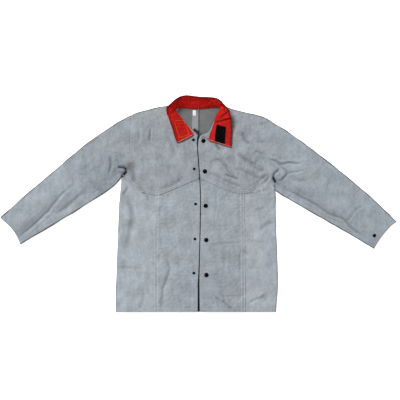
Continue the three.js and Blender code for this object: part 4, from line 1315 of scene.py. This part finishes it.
def thin_tubes(name, middles, radii_mm, across, upright, sides):
    """Tubes as one piece, from the middles and radii of their rings and two ways off the middle."""
    turns = np.arange(sides) * 2 * math.pi / sides
    rounds = [across * math.cos(turn) + upright * math.sin(turn) for turn in turns]
    rings = [middle + way * radius * MM for middle, radius in zip(middles, radii_mm) for way in rounds]
    places = np.stack(rings, axis=1).reshape(-1, 3)
    places[:, 2] = np.maximum(places[:, 2], 0)
    mesh = bpy.data.meshes.new(name)
    faces = tube_faces(len(across), len(middles), sides)
    mesh.from_pydata([tuple(place) for place in places], [], faces)
    mesh.update()
    piece = bpy.data.objects.new(name, mesh)
    bpy.context.collection.objects.link(piece)
    only(piece)
    bpy.ops.object.shade_smooth()
    print(name, len(across), "tubes,", len(faces), "faces")
    return piece


# %% [markdown]
# ## Hooks
# Hook tape is a woven base set with rows of cut nylon hooks. A hook is a stem that leans over at its tip,
# one way and the other by turns, so that the tape holds in every direction.

# %% Hooks
HOOK_MM = 1.5
HOOK_WIRE_RADIUS_MM = 0.3
HOOK_STEPS = [(0, 0), (0, 0.6), (0.25, 0.95), (0.6, 0.8)]  # how far over and how high, as shares of HOOK_MM
HOOK_LEAN = (1.0, 0.3, 0.0)
WIRE_SIDES = 3


def hook_field(skin, name):
    """A hook on every vertex inside the rim of a patch."""
    on_rim = {v for loop in boundary_loops(skin.data) for v in loop}
    inside = [v for v in range(len(skin.data.vertices)) if v not in on_rim]
    feet = points_of(skin.data)[inside]
    up = normals_of(skin.data)[inside]
    by_turns = np.where(np.arange(len(feet)) % 2, 1, -1)[:, None]
    over = np.cross(unit(np.cross(up, HOOK_LEAN)), up) * by_turns
    middles = [feet + (up * height + over * lean) * HOOK_MM * MM for lean, height in HOOK_STEPS]
    radii_mm = [HOOK_WIRE_RADIUS_MM] * len(HOOK_STEPS)
    return thin_tubes(name, middles, radii_mm, over, np.cross(up, over), WIRE_SIDES)


hooks = hook_field(skins["hook_patch"], "tape_hooks")
finish_piece(hooks, HOOK_TAPE)
for patch in PATCHES:
    tape = skins[patch.node]
    runs[patch.node] = points_of(tape.data)[boundary_loops(tape.data)[0]]
    whole_cut = patch.cut_mm[0] * patch.cut_mm[1] * MM**2
    thicken(tape, PATCH_MM, patch.cut_mm, min(skin_area(tape), whole_cut))
    finish_piece(tape, patch.material, [patch.node])

# %% [markdown]
# ## Snaps
# The front closes with five snaps: black caps show on the wearer's left edge, and the studs that they
# press on stand on the right one. One more cap is on the left cuff. Each is round work, so it is raised
# ring by ring from a disc: extrude, then resize, as one would on the top face. The first of each kind is
# modelled at the origin, and copies are seated square on the creased leather. Rings are radii and heights
# in millimetres.

# %% Snap models
CAP_RIM = [(7.8, 0), (8.3, 0.6), (8.3, 1.3), (7.9, 1.9), (7.1, 1.9)]
CAP_STEPS = CAP_RIM + [(6.6, 1.6), (5.4, 2.2), (3.6, 2.8), (1.6, 3.2)]
STUD_FLANGE = [(5.4, 0), (5.4, 0.8), (4.9, 1.2), (3.2, 1.2)]
STUD_STEPS = STUD_FLANGE + [(2.4, 1.6), (2.2, 2.6), (2.6, 3.1), (2.4, 3.6), (1.3, 3.8)]
SNAP_SIDES = 28
SNAP_EDGE_DEGREES = 50
CUFF_CAP_SHARE = 6.6 / 8.3


def turned_fitting(name, steps):
    """A small round fitting with its seat at the origin. steps are its radii and heights in millimetres."""
    (radius, _), (_, first_height) = steps[:2]
    bpy.ops.object.select_all(action="DESELECT")
    disc = {"radius": radius * MM, "depth": first_height * MM, "location": (0, 0, first_height / 2 * MM)}
    bpy.ops.mesh.primitive_cylinder_add(vertices=SNAP_SIDES, **disc)
    fitting = bpy.context.object
    fitting.name = name
    bpy.ops.object.transform_apply(location=True, rotation=True, scale=True)
    bpy.ops.object.mode_set(mode="EDIT")
    select_faces(fitting, faces_up)
    for (before, low), (after, high) in zip(steps, steps[1:]):
        if low > 0 or before != radius:
            bpy.ops.mesh.extrude_region_move(TRANSFORM_OT_translate={"value": (0, 0, (high - low) * MM)})
        share = after / before
        bpy.ops.transform.resize(value=(share, share, 1), center_override=(0, 0, 0))
    bpy.ops.mesh.poke()
    bpy.ops.object.mode_set(mode="OBJECT")
    bpy.ops.object.shade_smooth_by_angle(angle=math.radians(SNAP_EDGE_DEGREES))
    print(name, "measures", [round(side / MM, 1) for side in fitting.dimensions], "mm")
    return fitting


cap_model = turned_fitting("cap_model", CAP_STEPS)
stud_model = turned_fitting("stud_model", STUD_STEPS)
cuff_model = turned_fitting("cuff_model", [(r * CUFF_CAP_SHARE, h * CUFF_CAP_SHARE) for r, h in CAP_STEPS])

# %% [markdown]
# A snap sits where its node is, at the height and slope of the leather under it.

# %% Seated snaps
SNAP_SINK_MM = 0.2
SNAP_PAIRS = 5


def seat_on(model, node, surface):
    """A copy of a fitting in the place of one node, square on the surface under it."""
    low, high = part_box(node)
    middle = (low + high) / 2
    place, normal = surface.ray_cast(Vector((middle.x, middle.y, FROM_ABOVE)), DOWN)[:2]
    copy = bpy.data.objects.new("snap_" + node, model.data.copy())
    bpy.context.collection.objects.link(copy)
    turn = normal.to_track_quat("Z", "Y").to_matrix().to_4x4()
    copy.matrix_world = Matrix.Translation(place - normal * SNAP_SINK_MM * MM) @ turn
    only(copy)
    bpy.ops.object.transform_apply(location=True, rotation=True, scale=True)
    finish_piece(copy, ENAMEL, [node])


opening = {hand: surface_of(skins["front_" + hand], skins["yoke_" + hand]) for hand in HANDS}
for number in range(1, SNAP_PAIRS + 1):
    seat_on(cap_model, "cap_" + str(number), opening["left"])
    seat_on(stud_model, "stud_" + str(number), opening["right"])
seat_on(cuff_model, "cuff_cap", surface_of(skins["sleeve_lower_left"]))
for model in (cap_model, stud_model, cuff_model):
    bpy.data.objects.remove(model)
print("seated", SNAP_PAIRS, "caps and studs, and the cuff cap")

# %% [markdown]
# ## Stitches
# Seams are sewn down with two rows of thick thread, hems and cuffs with one, and from afar the stitches
# read as fine pale lines. A row follows the run of its seam at a distance inside the rim. A stitch is a
# short thread that dives into the leather at both ends: two rings and two tips. All stitches of a seam
# are one mesh.

# %% Stitch helpers
STITCH_MM = 3.6
STITCH_PITCH_MM = 4.6
THREAD_RADIUS_MM = 0.65
THREAD_SIDES = 5
StitchRing = namedtuple("StitchRing", "along up girth")  # in lengths of a stitch and radii of the thread
STITCH_RINGS = [
    StitchRing(-0.5, -0.6, 0.25),
    StitchRing(-0.3, 0.55, 1.0),
    StitchRing(0.3, 0.55, 1.0),
    StitchRing(0.5, -0.6, 0.25),
]
TRIAL_MM = 8  # a step to either side of a rim, which tells on which side the panel lies


def spaced(run, pitch, end_clear):
    """Points a pitch apart along a run of points, but for a clear end, with the way that the run goes."""
    lengths = lengths_along(run)
    marks = np.arange(pitch, lengths[-1] - end_clear, pitch)
    places = np.stack([np.interp(marks, lengths, run[:, axis]) for axis in range(3)], axis=1)
    return places, unit(np.gradient(places, axis=0))


def row_beside(run, surface, inset_mm, end_clear_mm=STITCH_PITCH_MM):
    """A row of stitches at a distance inside a rim: their places, their ways and the ways up from them."""
    places, ways = spaced(run, STITCH_PITCH_MM * MM, end_clear_mm * MM)
    middle = len(places) // 2
    up = surface.find_nearest(Vector(places[middle]))[1]
    trial = Vector(np.cross(up, ways[middle])) * TRIAL_MM * MM
    off = [surface.find_nearest(Vector(places[middle]) + trial * sign)[3] for sign in (1, -1)]
    sign = 1 if off[0] < off[1] else -1
    seats = []
    ups = []
    for place, way in zip(places, ways):
        up = surface.find_nearest(Vector(place))[1]
        aside = Vector(np.cross(up, way)).normalized() * sign
        seat, up = surface.find_nearest(Vector(place) + aside * inset_mm * MM)[:2]
        seats.append(seat)
        ups.append(up)
    return np.array(seats), ways, np.array(ups)


def stitches(name, rows, thread):
    """All stitches of some rows as one piece."""
    seats, ways, ups = (np.vstack(parts) for parts in zip(*rows))
    asides = unit(np.cross(ways, ups))
    ups = np.cross(asides, ways)
    middles = []
    for ring in STITCH_RINGS:
        middles.append(seats + (ways * ring.along * STITCH_MM + ups * ring.up * THREAD_RADIUS_MM) * MM)
    radii_mm = [ring.girth * THREAD_RADIUS_MM for ring in STITCH_RINGS]
    finish_piece(thin_tubes(name, middles, radii_mm, asides, ups, THREAD_SIDES), thread)


# %% [markdown]
# Each kind of seam has its own rows: how far inside the rim they run, the thread, and how much of the end
# is left clear where the seam runs under another panel. The left yoke's rows leave its rim where the seam
# was pulled up, and follow that line.

# %% Seam rows
Rows = namedtuple("Rows", "insets_mm thread end_clear_mm", defaults=[STITCH_PITCH_MM])
SEAM_ROWS = {
    "yoke": Rows((3, 12), "aramid", 14),
    "length": Rows((3.5, 15), "white"),
    "armhole": Rows((4, 13), "faded", 28),
    "elbow": Rows((4, 14), "grey"),
    "cuff": Rows((14,), "grey"),
    "hem": Rows((11,), "aramid"),
}


def dropped(line_mm, surface):
    """A line in plan as points on the surface that lies under it."""
    hits = [surface.ray_cast(Vector((x * MM, y * MM, FROM_ABOVE)), DOWN)[0] for x, y in line_mm]
    return np.array([hit for hit in hits if hit])


yoke_end = dropped(smooth_line(YOKE_END_MM), surfaces["yoke_left"])
along_rim = runs["yoke_left"]
runs["yoke_left"] = np.vstack([along_rim[along_rim[:, 0] < YOKE_END_MM[0][0] * MM], yoke_end])
for name, seam in SEAMS.items():
    insets, thread, end_clear = SEAM_ROWS[name.split("_")[0]]
    seam_rows = [row_beside(runs[name], surfaces[seam.panel], inset, end_clear) for inset in insets]
    stitches("stitches_" + name, seam_rows, THREADS[thread])

# %% [markdown]
# The collar is sewn with red thread round its edge and with pale thread across its ends, the hook tape
# with black. On the wearer's right leaf a rectangle of orange stitches shows where the loop tape is sewn
# on underneath. Its corners are measured in plan and dropped on the collar.

# %% Collar rows
LOOP_CORNERS_MM = [(-91, 310), (-56, 311), (-34, 259), (-71, 247), (-91, 310)]
CORNER_STEPS = 30
EDGE_INSET_MM = 5
END_INSET_MM = 3
PATCH_INSET_MM = 2


def row_round(corners_mm, surface):
    """A row of stitches from corner to corner in plan, dropped on a surface."""
    shares = np.linspace(0, 1, CORNER_STEPS, endpoint=False)[:, None]
    sides = [np.array(a) * (1 - shares) + np.array(b) * shares for a, b in zip(corners_mm, corners_mm[1:])]
    return row_beside(dropped(np.vstack(sides), surface), surface, 0)


on_collar = surfaces["collar"]
edge_row = row_beside(runs["collar_edge"], on_collar, EDGE_INSET_MM)
end_rows = [row_beside(runs["collar_end_" + hand], on_collar, END_INSET_MM) for hand in HANDS]
hook_row = row_beside(runs["hook_patch"], surfaces["hook_patch"], PATCH_INSET_MM)
stitches("stitches_collar_edge", [edge_row], THREADS["red"])
stitches("stitches_collar_ends", end_rows, THREADS["aramid"])
stitches("stitches_loop_patch", [row_round(LOOP_CORNERS_MM, on_collar)], THREADS["orange"])
stitches("stitches_hook_patch", [hook_row], THREADS["black"])

# %% [markdown]
# ## The floor, the light and the look
# The jacket is lit as a product shot is: a white surround fills every shadow, and one broad soft light
# from the upper left lets the folds read. The floor is so light that it clears to white.

# %% Floor and light
FLOOR_SIZE = 60.0  # in metres
FLOOR_DROP = 0.2 * MM
FLOOR_GLOW = 0.75
SURROUND_STRENGTH = 0.32
SUN_PLACE = (-1.6, 0.8, 3.0)
SUN_WAY = (0.5, -0.62, -1.0)
SUN_STRENGTH = 2.9
SUN_DEGREES = 22  # how wide it looks from the jacket, which softens the shadows
WHITE = (1, 1, 1, 1)

bpy.ops.object.select_all(action="DESELECT")
bpy.ops.mesh.primitive_plane_add(size=FLOOR_SIZE, location=(0, 0, -FLOOR_DROP))
floor = bpy.context.object
floor.name = "floor"
paper, paper_tree, paper_shader, _ = new_material("white_paper")
paper_look = {"Base Color": linear("#f6f6f6"), "Roughness": 1.0}
paper_look.update({"Emission Color": WHITE, "Emission Strength": FLOOR_GLOW})
feed(paper_tree, paper_shader, paper_look)
floor.data.materials.append(paper)

world = bpy.data.worlds.new("white_surround")
world.use_nodes = True
surround = world.node_tree.nodes["Background"]
feed(world.node_tree, surround, {"Color": WHITE, "Strength": SURROUND_STRENGTH})
bpy.context.scene.world = world

bpy.ops.object.light_add(type="SUN", location=SUN_PLACE)
sun = bpy.context.object
sun.rotation_euler = Vector(SUN_WAY).to_track_quat("-Z", "Y").to_euler()
sun.data.energy = SUN_STRENGTH
sun.data.angle = math.radians(SUN_DEGREES)
bpy.context.scene.view_settings.view_transform = "Standard"
